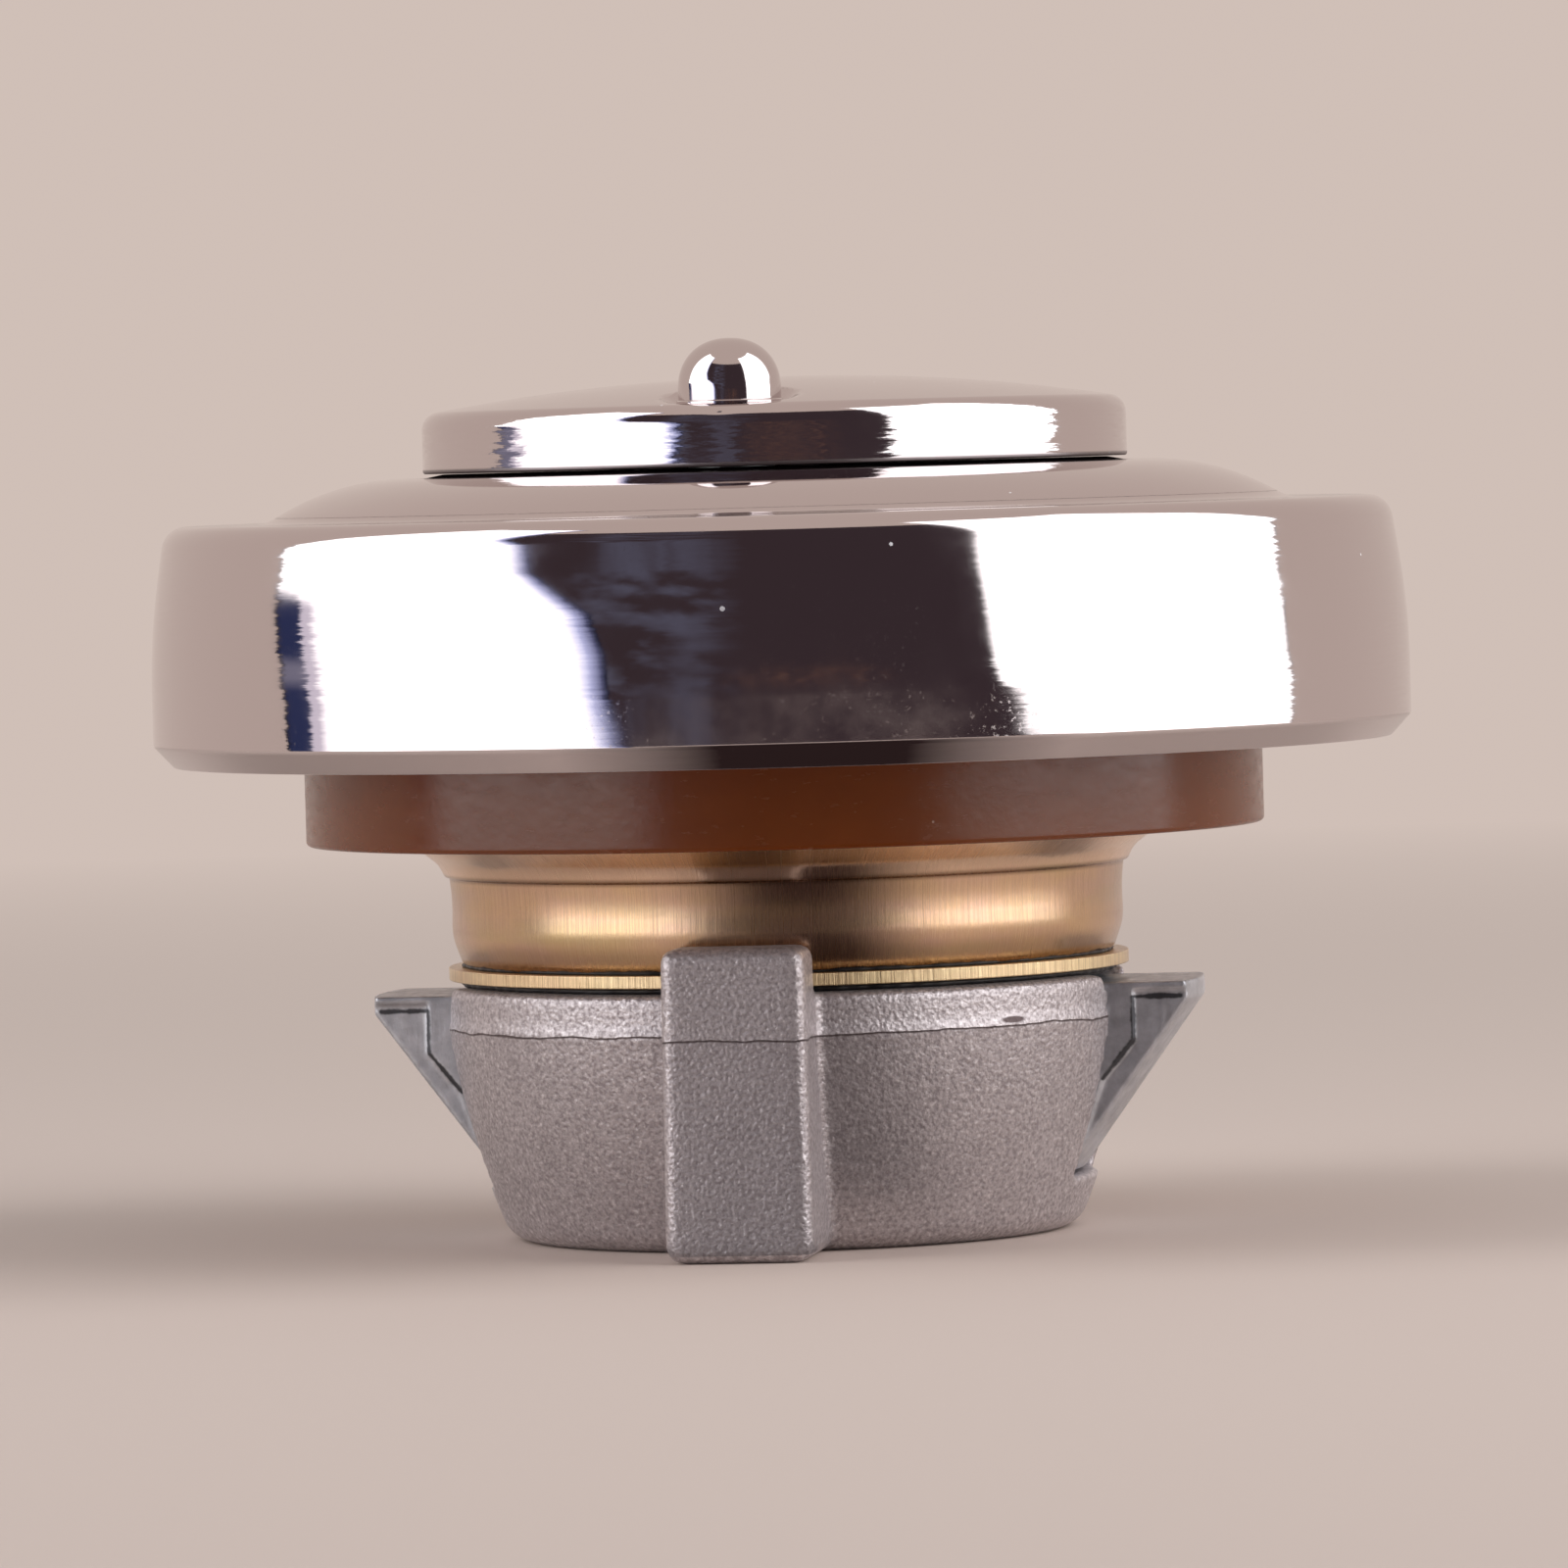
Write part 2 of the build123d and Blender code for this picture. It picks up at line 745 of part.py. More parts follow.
def shutter():
    """Domed pressed disc with a straight skirt and a flat seat for its stud."""
    half = shutter_radius / 2
    slope = atan2(shutter_crown, half)
    corner_run = shutter_corner * tan((pi / 2 - slope) / 2)
    crown_run = min(hypot(shutter_crown, half) - corner_run, half)
    points = [
        (shutter_radius, shutter_bottom),
        (shutter_radius, shutter_edge),
        (half, shutter_crown_level),
        (0, shutter_crown_level),
    ]
    disc = pressed(points, [shutter_corner, bend_for_run(crown_run, slope)], shutter_sheet)
    seat_bottom = shutter_seat - shutter_sheet
    seat = ring(0, shutter_seat_radius, seat_bottom, shutter_seat)
    hollow = ring(0, shutter_seat_radius, shutter_bottom, shutter_crown_level)
    bore = ring(0, stud_shank_radius + stud_clearance, shutter_bottom, shutter_crown_level)
    inside = ring(0, shutter_radius - shutter_corner / 2, shutter_bottom, shutter_crown_level)
    return disc - (pivot() * hollow & inside) + pivot() * seat - pivot() * bore


def shutter_stud():
    """Stud with a domed head, riveted over under the cover."""
    head_bottom = shutter_seat + stud_clearance
    head_top = head_bottom + stud_head_height
    dome_start = head_top - stud_head_radius
    washer_bottom = platform_level - cover_sheet - backing_washer_thickness
    rivet_bottom = washer_bottom - stud_rivet_height
    side = Polyline(
        (0, head_top),
        (0, rivet_bottom),
        (stud_rivet_radius, rivet_bottom),
        (stud_rivet_radius, washer_bottom),
        (stud_shank_radius, washer_bottom),
        (stud_shank_radius, head_bottom),
        (stud_foot_radius, head_bottom),
        (stud_foot_radius, head_bottom + stud_foot_height),
        (stud_head_radius, head_bottom + stud_foot_height),
        (stud_head_radius, dome_start),
    )
    dome = CenterArc((0, dome_start), stud_head_radius, 0, 90)
    return pivot() * section_turned(make_face([side, dome]))


def stud_spacer():
    """Tube round the stud that holds the shutter at its height."""
    top = shutter_seat - shutter_sheet - spring_washer_thickness - spring_washer_rise - stud_clearance
    return pivot() * ring(stud_shank_radius + stud_clearance, spacer_radius, platform_level, top)


def stud_spring_washer():
    """Dished washer between spacer and shutter, which holds the shutter where it is put."""
    inner = stud_shank_radius + stud_clearance
    top = shutter_seat - shutter_sheet - stud_clearance
    low = top - spring_washer_thickness - spring_washer_rise
    points = [
        (inner, low + spring_washer_rise),
        (spring_washer_radius, low),
        (spring_washer_radius, low + spring_washer_thickness),
        (inner, top),
    ]
    return pivot() * turned(points)


def stud_backing_washer():
    """Washer under the cover that the stud is riveted on."""
    top = platform_level - cover_sheet
    inner = stud_shank_radius + stud_clearance
    return pivot() * ring(inner, backing_washer_radius, top - backing_washer_thickness, top)


def housing_screws():
    """Pan-head screws from the cup's floor into the casting, with cross recesses."""
    head_top = cup_floor_top + screw_head_height
    tip = housing_height - screw_grip + screw_radius
    screw = turned(
        [
            (0, tip),
            (screw_radius, tip),
            (screw_radius, cup_floor_top),
            (screw_head_radius, cup_floor_top),
            (screw_head_radius, head_top),
            (0, head_top),
        ],
        [0, screw_radius / 4, 0, 0, screw_head_height / 2, 0],
    )
    arm = Box(screw_recess_length, screw_recess_width, screw_recess_depth)
    recess = arm + arm.rotate(Axis.Z, 90)
    return at_screws(screw - Pos(0, 0, head_top - screw_recess_depth / 2) * recess)


def felt_inner_radius():
    """Bore of the felt, just outside the barrel's seal."""
    return barrel_radius + 2 * barrel_seal_wire + felt_gap


def felt_outer_radius():
    """Rim of the felt, just inside the screw heads."""
    return screw_circle - screw_head_radius - felt_gap


def breather_felt():
    """Felt ring over the breather hole."""
    return ring(felt_inner_radius(), felt_outer_radius(), cup_floor_top, cup_floor_top + felt_height)


parts = {
    "outer_cover": outer_cover(),
    "sealing_cup": sealing_cup(),
    "neck_gasket": neck_gasket(),
    "lid_plate": lid_plate(),
    "lid_seal": lid_seal(),
    "latch_housing": latch_housing(),
    "housing_screws": housing_screws(),
    "breather_felt": breather_felt(),
    "right_pawl": pawl(),
    "left_pawl": pawl().rotate(Axis.Z, 180),
    "right_pawl_spring": pawl_spring(),
    "left_pawl_spring": pawl_spring().rotate(Axis.Z, 180),
    "latch_cam": latch_cam(),
    "lock_barrel": lock_barrel(),
    "barrel_nut": barrel_nut(),
    "barrel_seal": barrel_seal(),
    "lock_plug": lock_plug(),
    "plug_wafers": plug_wafers(),
    "plug_clip": plug_clip(),
    "shutter": shutter(),
    "shutter_stud": shutter_stud(),
    "stud_spacer": stud_spacer(),
    "stud_spring_washer": stud_spring_washer(),
    "stud_backing_washer": stud_backing_washer(),
}

os.makedirs("parts", exist_ok=True)
for name, shape in parts.items():
    export_step(shape, f"parts/{name}.step")
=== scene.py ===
# %% [markdown]
# A locking fuel tank cap, dressed for a picture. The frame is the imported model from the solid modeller.
# Its pieces say where everything is and how it moves, and this script gives each piece the surface that
# the real one shows. Most of the cap is pressed or turned sheet, so most new pieces are profiles turned
# about an axis. Everything is worked out in millimetres and put into meshes in metres.

import bpy
import numpy as np
from mathutils import Matrix, Vector


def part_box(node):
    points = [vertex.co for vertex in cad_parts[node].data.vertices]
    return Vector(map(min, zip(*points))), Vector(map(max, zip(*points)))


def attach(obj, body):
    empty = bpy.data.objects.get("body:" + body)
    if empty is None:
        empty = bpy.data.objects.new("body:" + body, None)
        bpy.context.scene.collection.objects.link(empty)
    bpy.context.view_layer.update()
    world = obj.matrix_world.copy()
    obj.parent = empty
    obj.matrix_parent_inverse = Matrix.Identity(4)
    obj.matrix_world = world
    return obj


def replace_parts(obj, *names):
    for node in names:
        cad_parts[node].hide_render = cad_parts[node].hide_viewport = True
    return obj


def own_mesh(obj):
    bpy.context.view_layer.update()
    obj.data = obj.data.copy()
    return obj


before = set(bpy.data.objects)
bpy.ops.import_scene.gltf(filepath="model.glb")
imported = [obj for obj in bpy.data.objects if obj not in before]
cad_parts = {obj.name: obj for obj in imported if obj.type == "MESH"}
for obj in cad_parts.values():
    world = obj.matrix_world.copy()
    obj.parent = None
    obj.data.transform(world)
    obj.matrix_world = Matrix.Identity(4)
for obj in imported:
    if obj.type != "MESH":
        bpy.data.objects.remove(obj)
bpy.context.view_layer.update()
MM = 0.001

# %% [markdown]
# Blender meshes can be typed in corner by corner, or built by operators. Here each surface is a grid of
# points that numpy works out at once, and one helper turns any such grid into a smooth object. Edges
# sharper than 30 degrees stay sharp, so that a pressed lip still reads as a cut edge.


# %% A mesh from arrays
def make_mesh(name, points, quads):
    """Object from points in millimetres and four corners per face. Repeated corners make a triangle."""
    first = quads[:, 0] == quads[:, 1]
    last = quads[:, 2] == quads[:, 3]
    full = quads[~(first | last)]
    threes = np.concatenate([quads[first][:, [0, 2, 3]], quads[last][:, :3]])
    corners = np.concatenate([full.ravel(), threes.ravel()]).astype(np.int32)
    starts = np.concatenate([np.arange(len(full)) * 4, len(full) * 4 + np.arange(len(threes)) * 3])
    mesh = bpy.data.meshes.new(name)
    mesh.vertices.add(len(points))
    mesh.vertices.foreach_set("co", (points * MM).astype(np.float32).ravel())
    mesh.loops.add(len(corners))
    mesh.loops.foreach_set("vertex_index", corners)
    mesh.polygons.add(len(starts))
    mesh.polygons.foreach_set("loop_start", starts.astype(np.int32))
    mesh.update(calc_edges=True)
    mesh.validate()
    mesh.shade_smooth()
    mesh.set_sharp_from_angle(angle=np.radians(30))
    piece = bpy.data.objects.new(name, mesh)
    bpy.context.scene.collection.objects.link(piece)
    return piece


def grid_quads(numbers):
    """Four corners per face of a grid of point numbers."""
    first, second = numbers[:-1], numbers[1:]
    return np.stack([first[:, :-1], second[:, :-1], second[:, 1:], first[:, 1:]], 2).reshape(-1, 4)


# %% [markdown]
# A turned or pressed piece is drawn as an outline of radius and height, with a rounding at each corner.
# The arcs need many short steps, because polished metal shows every flat. A short straight piece is kept
# beside each arc, so that the shading of the arc doesn't run out over the flat next to it.


# %% Outlines with rounded corners
ARC_STEP = 3.5
ARC_CHORD = 0.6
BESIDE_ARC = 0.12
TINY = 1e-6


def unit(vectors):
    """Vectors of length one along the last axis."""
    return vectors / np.linalg.norm(vectors, axis=-1, keepdims=True)


def arc_at(before, corner, after, radius):
    """Points of the arc that touches both runs at a corner: its centre lies one radius beside each run."""
    run_in, run_out = unit(corner - before), unit(after - corner)
    turn = np.arctan2(run_in[0] * run_out[1] - run_in[1] * run_out[0], run_in @ run_out)
    if radius == 0 or abs(turn) < TINY:
        return corner[None]
    reach = radius * np.tan(abs(turn) / 2)
    side = np.sign(turn) * np.array([-run_in[1], run_in[0]])
    centre = corner - run_in * reach + side * radius
    count = max(3, np.degrees(abs(turn)) / ARC_STEP, radius * abs(turn) / ARC_CHORD)
    angles = np.linspace(0, turn, int(np.ceil(count)))
    x, z = -side * radius
    cosine, sine = np.cos(angles), np.sin(angles)
    arc = centre + np.stack([x * cosine - z * sine, x * sine + z * cosine], 1)
    beside_it = min(BESIDE_ARC, 0.4 * reach)
    return np.concatenate([arc[:1] - run_in * beside_it, arc, arc[-1:] + run_out * beside_it])


def rounded(points, radii):
    """Open run of points, with an arc at each inner corner."""
    points = np.array(points, float)
    arcs = [arc_at(a, b, c, radius) for a, b, c, radius in zip(points, points[1:], points[2:], radii)]
    return np.concatenate([points[:1], *arcs, points[-1:]])


def rounded_ring(points, radii):
    """Closed outline with an arc at each corner, started halfway along its last side."""
    points = np.array(points, float)
    middle = (points[:1] + points[-1:]) / 2
    return rounded(np.concatenate([middle, points, middle]), radii)[:-1]


# %% [markdown]
# Pressed sheet has two faces, one sheet thickness apart. The second face is the same run of corners moved
# sideways: at each corner the two moved runs are made to meet again. Its bends are tighter on the inside
# and wider on the outside, which is what a press does to a real sheet.


# %% Both faces of a pressed sheet
def beside(points, depth):
    """The run of points moved to its left by depth, each corner moved along its own bisector."""
    runs = unit(np.diff(points, axis=0))
    before, after = np.concatenate([runs[:1], runs]), np.concatenate([runs, runs[-1:]])
    share = depth / (1 + (before * after).sum(1))
    return points + np.stack([-(before + after)[:, 1], (before + after)[:, 0]], 1) * share[:, None]


def pressed(points, radii, sheet):
    """Closed outline of a sheet whose outer face is the run of points, with the metal on its left."""
    points = np.array(points, float)
    runs = unit(np.diff(points, axis=0))
    turns = runs[:-1, 0] * runs[1:, 1] - runs[:-1, 1] * runs[1:, 0]
    inner_radii = [max(r - sheet * np.sign(t), 0) if r else 0 for r, t in zip(radii, turns)]
    inner = rounded(beside(points, sheet), inner_radii)
    return np.concatenate([rounded(points, radii), inner[::-1]])


# %% [markdown]
# Turning is what a lathe does: the outline is carried round the axis. Blender has a Screw modifier for
# this, but a grid of angle and place on the outline is only one outer product, and it closes without a
# seam.


# %% Turned pieces
def turned(name, outline, centre=(0.0, 0.0), count=400, bend=None):
    """Point of the grid at angle a and place t: centre + (r(t) cos a, r(t) sin a), at height z(t).
    Where the outline touches the axis, it gets one point. bend may move the finished points."""
    radius, height = np.array(outline, float).T
    area = np.sum(radius * np.roll(height, -1) - np.roll(radius, -1) * height)
    if area < 0:
        radius, height = radius[::-1], height[::-1]
    angles = np.arange(count) * 2 * np.pi / count
    x = centre[0] + np.outer(radius, np.cos(angles))
    y = centre[1] + np.outer(radius, np.sin(angles))
    z = np.repeat(height[:, None], count, 1)
    points = np.stack([x, y, z], 2)
    if bend:
        points = bend(points)
    numbers = np.arange(points.shape[0] * count).reshape(-1, count)
    on_axis = radius < TINY
    numbers[on_axis] = numbers[on_axis][:, :1]
    if not on_axis.any():
        numbers = np.concatenate([numbers, numbers[:1]])
    low, high = numbers[:-1], numbers[1:]
    quads = np.stack([low, np.roll(low, -1, 1), np.roll(high, -1, 1), high], 2).reshape(-1, 4)
    used, quads = np.unique(quads, return_inverse=True)
    piece = make_mesh(name, points.reshape(-1, 3)[used], quads.reshape(-1, 4))
    print(name, "faces", len(piece.data.polygons))
    return piece


def dress(piece, body, slot, *nodes):
    """Ride a piece on its body and let it stand for CAD nodes. Its slot is not used."""
    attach(piece, body)
    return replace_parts(piece, *nodes) if nodes else piece


def span(node):
    """Largest radius, lowest and highest level of a node, in millimetres."""
    low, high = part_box(node)
    return high.x / MM, low.z / MM, high.z / MM


# %% [markdown]
# The outer cover is the chromed cup of sheet steel that a hand turns. Its lower lip is folded in, then
# come a short bevel, a wall that leans in a little towards its top, a rounded shoulder, and a low dome
# round the lock's recess. The wall's long bend and the dome's are arcs of large radius, because polished
# sheet never stays quite flat.

# %% Outer cover
SHEET = 1.0
cover_radius, cover_bottom, platform_level = span("outer_cover")
rim_radius = cover_radius - 1.5
bevel_top = cover_bottom + 1.6
draft_start = bevel_top + 8.2
draft_inset = 1.3
shoulder_level = platform_level - 3.4
dome_foot = 38.6
dome_corner = 33.3
skirt_seat = platform_level - 0.25
seat_outside = 26.4
seat_inside = 25.1
barrel_flange = span("lock_barrel")[0]
recess_radius = barrel_flange + 0.1
recess_floor = platform_level - 1.2
cover_bore = 10.1
lip_width = 2.5

cover_run = [
    (rim_radius - lip_width, cover_bottom),
    (rim_radius, cover_bottom),
    (cover_radius, bevel_top),
    (cover_radius, draft_start),
    (cover_radius - draft_inset, shoulder_level),
    (dome_foot, shoulder_level),
    (dome_corner, skirt_seat),
    (seat_outside, skirt_seat),
    (seat_inside, platform_level),
    (recess_radius, platform_level),
    (recess_radius, recess_floor),
    (cover_bore, recess_floor),
]
cover_bends = [0.25, 0.45, 58.0, 1.9, 3.0, 18.8, 0.8, 0.8, 0.4, 0.0]
cover_outline = pressed(cover_run, cover_bends, SHEET)
cover = dress(turned("cover", cover_outline, count=420), "cap_body", "chrome", "outer_cover")

# %% [markdown]
# The shutter is a shallow pressed lid that swings aside from the keyhole. Its skirt is straight and its
# crown is slightly domed, with a small flat seat where the stud holds it. The seat isn't round about the
# lid's own axis, so it is pressed into the finished grid, which has enough points there to bend softly at
# the seat's edge.

# %% Shutter
stud_low, stud_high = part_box("shutter_stud")
stud_x = (stud_low.x + stud_high.x) / 2 / MM
stud_y = (stud_low.y + stud_high.y) / 2 / MM
_, stud_bottom, stud_top = span("shutter_stud")
head_foot = stud_top - 4.85
shutter_radius, shutter_bottom, crown_level = span("shutter")
skirt_bottom = platform_level + 0.06
shutter_edge = shutter_bottom + 4.2
crown_foot = skirt_bottom + 2
seat_radius = 4.3
seat_ring = 0.9
cut_edge = 0.5


def finer(points, spacing):
    """The same run with points added, so that no step is longer than spacing."""
    steps = np.linalg.norm(np.diff(points, axis=0), axis=1)
    parts = np.maximum(1, np.ceil(steps / spacing)).astype(int)
    places = np.concatenate([start + np.arange(n) / n for start, n in enumerate(parts)] + [[len(parts)]])
    return np.stack([np.interp(places, np.arange(len(points)), column) for column in points.T], 1)


def press_seat(points):
    """Each face of the sheet near the stud comes down to the stud's foot, less and less over a ring."""
    away = np.hypot(points[..., 0] - stud_x, points[..., 1] - stud_y)
    held = np.clip((seat_radius + seat_ring - away) / seat_ring, 0, 1)
    held = held * held * (3 - 2 * held)
    inside = points[..., 2] < head_foot - SHEET / 2
    level = np.where(inside, head_foot - SHEET, head_foot)
    crown = points[..., 2] > crown_foot
    points[..., 2] -= np.maximum(points[..., 2] - level, 0) * held * crown
    return points


lid_run = np.array(
    [
        (shutter_radius - cut_edge, skirt_bottom),
        (shutter_radius, skirt_bottom),
        (shutter_radius, shutter_edge),
        (shutter_radius / 2, crown_level),
        (0, crown_level),
    ]
)
lid_outside = finer(rounded(lid_run, [0.2, 1.4, 145.0]), 0.5)
lid_inside = finer(rounded(beside(lid_run[1:], SHEET), [0.4, 144.0]), 0.5)
shutter_outline = np.concatenate([lid_outside, lid_inside[::-1]])
shutter = turned("shutter_lid", shutter_outline, count=380, bend=press_seat)
shutter = dress(shutter, "shutter", "chrome", "shutter")

# %% [markdown]
# The stud is a round-headed rivet: head, thin foot ring, shank through shutter and cover, and a riveted
# end below. It is turned from one closed outline, about its own axis near the front of the cover.

# %% Stud
head_radius = 3.8
foot_radius = 3.95
foot_height = 0.3
foot_edge = 0.08
shank_radius = 2.0
rivet_top = stud_bottom + 0.9
rivet_radius = 3.0
fullness = 2 / 2.2
dome_angles = np.radians(np.arange(0, 91, 2.5))
dome_width = head_radius * np.cos(dome_angles).clip(0) ** fullness
dome_rise = head_radius * np.sin(dome_angles).clip(0) ** fullness
dome = np.stack([dome_width, stud_top - head_radius + dome_rise], 1)
dome[-1, 0] = 0
rivet = [
    (0, stud_bottom),
    (rivet_radius, stud_bottom),
    (rivet_radius, rivet_top),
    (shank_radius, rivet_top),
]
foot_ring = [
    (shank_radius, head_foot),
    (foot_radius - foot_edge, head_foot),
    (foot_radius, head_foot + foot_edge),
    (foot_radius, head_foot + foot_height - foot_edge),
    (foot_radius - foot_edge, head_foot + foot_height),
    (head_radius, head_foot + foot_height + 0.02),
]
stud_outline = np.concatenate([rivet, foot_ring, dome])
stud = dress(turned("stud", stud_outline, (stud_x, stud_y), 160), "cap_body", "chrome", "shutter_stud")

# %% [markdown]
# The sealing cup is the plated pressing that enters the tank's neck. From its floor a short wall rises, a
# little hollow in its height. A small step makes a dark line round its top, deepened by painted shade in
# its crease, and above that the sheet flares like a trumpet under the gasket, goes up inside it as a drum
# and ends in a flange that the cover is folded round.

# %% Sealing cup
cup_flange_edge, cup_bottom, _ = span("sealing_cup")
gasket_radius, gasket_bottom, gasket_top = span("neck_gasket")
drum_radius = 30.4
cup_bore = 8.6
step_level = cup_bottom + 6.75
cup_run = [
    (cup_bore, cup_bottom),
    (24.55, cup_bottom),
    (25.38, cup_bottom + 2.3),
    (25.31, cup_bottom + 5.3),
    (25.5, step_level),
    (25.85, step_level + 0.12),
    (26.3, step_level + 1.05),
    (28.3, step_level + 2.6),
    (drum_radius, step_level + 4.1),
    (drum_radius, gasket_top),
    (cup_flange_edge, gasket_top),
]
cup_bends = [0.9, 4.5, 14.0, 0.1, 0.25, 2.2, 6.0, 1.2, 1.2]
cup_outline = pressed(cup_run, cup_bends, SHEET)
cup = dress(turned("cup", cup_outline, count=360), "cap_body", "yellow_zinc", "sealing_cup")

# %% [markdown]
# The neck gasket is a deep ring of brown rubber. Rubber takes the shape of its mould, whose corners are
# never quite sharp, so each corner is rounded. The upper inner one gives the bend of the cup's flange
# room.

# %% Neck gasket
gasket_bore = drum_radius + 0.15
gasket_outline = rounded_ring(
    [
        (gasket_bore, gasket_bottom),
        (gasket_radius, gasket_bottom),
        (gasket_radius, gasket_top),
        (gasket_bore, gasket_top),
    ],
    [0.4, 0.35, 0.3, 1.6],
)
gasket = dress(turned("gasket", gasket_outline, count=360), "cap_body", "brown_rubber", "neck_gasket")

# %% [markdown]
# Under the cup lies a plated plate with a punched edge: a ring of rectangular section with broken edges.
# A plain cylinder with a hole would do, but it has no small rounds at its edges to catch the light.


# %% Lid plate
def flat_ring(name, node, inner, slot, edge):
    """Washer between a node's levels, its corners rounded by edge."""
    outer, bottom, top = span(node)
    outline = rounded_ring([(inner, bottom), (outer, bottom), (outer, top), (inner, top)], [edge] * 4)
    return dress(turned(name, outline, count=360), "cap_body", slot, node)


lid = flat_ring("lid", "lid_plate", cup_bore, "yellow_zinc", 0.08)

# %% [markdown]
# The seal under the plate is soft and black, and drawn back a little. A thin line of the same stuff is
# squeezed out all round between the plate and the cup. The edges of both are waves: a few sines of whole
# turns, added up, that close on themselves.


# %% Black seal and what has squeezed out
BULGE = 0.12


def uneven(angles, depth, phase):
    """Sum of sines with 7, 18, 41 and 97 waves to the turn, between about -depth and depth."""
    waves = [(7, 0.35), (18, 0.3), (41, 0.2), (97, 0.15)]
    return depth * sum(share * np.sin(number * angles + phase * number) for number, share in waves)


def squeezed(name, inner, outer, bottom, top, depth, phase):
    """Soft ring: its outer face bulges by a half sine of its height, and its radius wanders."""

    def wander(points):
        radius = np.hypot(points[..., 0], points[..., 1])
        angles = np.arctan2(points[..., 1], points[..., 0])
        rise = ((points[..., 2] - bottom) / (top - bottom)).clip(0, 1)
        share = np.clip((radius - inner) / (outer - inner), 0, 1) ** 4
        grown = 1 + share * (uneven(angles, depth, phase) + BULGE * np.sin(np.pi * rise)) / radius
        points[..., 0] *= grown
        points[..., 1] *= grown
        return points

    levels = np.linspace(bottom, top, 7)
    outline = np.concatenate([[(inner, bottom)], np.stack([np.full(7, outer), levels], 1), [(inner, top)]])
    return turned(name, outline, count=720, bend=wander)


seal_radius, seal_bottom, seal_top = span("lid_seal")
seal_bore = 14.4
seal_edge = seal_radius - 0.35
lid_gasket = squeezed("lid_gasket", seal_bore, seal_edge, seal_bottom, seal_top, 0.34, 0.4)
dress(lid_gasket, "cap_body", "black_rubber", "lid_seal")
line_bottom = cup_bottom - 0.02
line_top = cup_bottom + 0.27
squeeze_out = squeezed("squeeze_out", 22.8, 24.42, line_bottom, line_top, 0.24, 1.3)
dress(squeeze_out, "cap_body", "black_rubber")

# %% [markdown]
# The latch housing and the pawls are castings, and a casting has no truly sharp edge. The CAD node's mesh
# has. A copy of it is merged, rebuilt by a voxel remesh into small even faces, and smoothed a little,
# which rounds each edge by about the size of a face. Bevels would be sharper, but they break on the thin
# triangles of a CAD mesh.


# %% Castings
def casting(name, node, body, slot, voxel, rounds):
    """Copy of a CAD node, merged, remeshed with even faces of one voxel and smoothed a few times."""
    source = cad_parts[node]
    mesh = source.data.copy()
    mesh.name = name
    piece = bpy.data.objects.new(name, mesh)
    bpy.context.scene.collection.objects.link(piece)
    weld = piece.modifiers.new("weld", "WELD")
    weld.merge_threshold = 1e-6
    remesh = piece.modifiers.new("remesh", "REMESH")
    remesh.mode = "VOXEL"
    remesh.voxel_size = voxel * MM
    remesh.use_smooth_shade = True
    smooth = piece.modifiers.new("smooth", "SMOOTH")
    smooth.factor = 0.5
    smooth.iterations = rounds
    depsgraph = bpy.context.evaluated_depsgraph_get()
    made = bpy.data.meshes.new_from_object(piece.evaluated_get(depsgraph))
    piece.modifiers.clear()
    piece.data = made
    made.shade_smooth()
    print(name, "faces", len(made.polygons))
    return dress(piece, body, slot, node)


housing = casting("housing", "latch_housing", "cap_body", "cast_alloy", 0.36, 3)
right_pawl = casting("right_pawl_cast", "right_pawl", "right_latch", "cast_zinc", 0.17, 2)
left_pawl = casting("left_pawl_cast", "left_pawl", "left_latch", "cast_zinc", 0.17, 2)

# %% [markdown]
# A coil spring behind each pawl pushes it out. Its wire is a circle carried along a helix. The first and
# last turns lie closer together, as at a real spring's closed ends: the helix moves on slowly there, and
# faster in between.


# %% Pawl springs
SPRING_TURNS = 7
SPRING_WIRE = 0.35
RINGS_PER_TURN = 40
WIRE_SIDES = 12


def coil(name, start, end, outside, level, side):
    """Centre of the wire at turn angle a: x = side times the way along, y and z a circle round the X axis.
    Place on the wire at angle b: centre + wire radius times (cos b outwards + sin b along X)."""
    turns = np.linspace(0, 1, SPRING_TURNS * RINGS_PER_TURN + 1)
    eased = turns - 0.09 * np.sin(2 * np.pi * turns)
    along = (start + SPRING_WIRE + (end - start - 2 * SPRING_WIRE) * eased)[:, None]
    round_axis = (2 * np.pi * SPRING_TURNS * turns)[:, None]
    round_wire = (np.arange(WIRE_SIDES) * 2 * np.pi / WIRE_SIDES)[None]
    radius = outside - SPRING_WIRE + SPRING_WIRE * np.cos(round_wire)
    x = side * (along + SPRING_WIRE * np.sin(round_wire))
    y = side * radius * np.cos(round_axis)
    z = level + radius * np.sin(round_axis)
    rings = np.stack([x, y, z], 2)
    ends = rings[[0, -1]].mean(1)
    points = np.concatenate([rings.reshape(-1, 3), ends])
    numbers = np.arange(rings.shape[0] * WIRE_SIDES).reshape(-1, WIRE_SIDES)
    low, high = numbers[:-1], numbers[1:]
    walls = np.stack([low, high, np.roll(high, -1, 1), np.roll(low, -1, 1)], 2).reshape(-1, 4)
    first, last = np.full(WIRE_SIDES, numbers.size), np.full(WIRE_SIDES, numbers.size + 1)
    start_cap = np.stack([first, first, numbers[0], np.roll(numbers[0], -1)], 1)
    end_cap = np.stack([last, last, np.roll(numbers[-1], -1), numbers[-1]], 1)
    return make_mesh(name, points, np.concatenate([walls, start_cap, end_cap]))


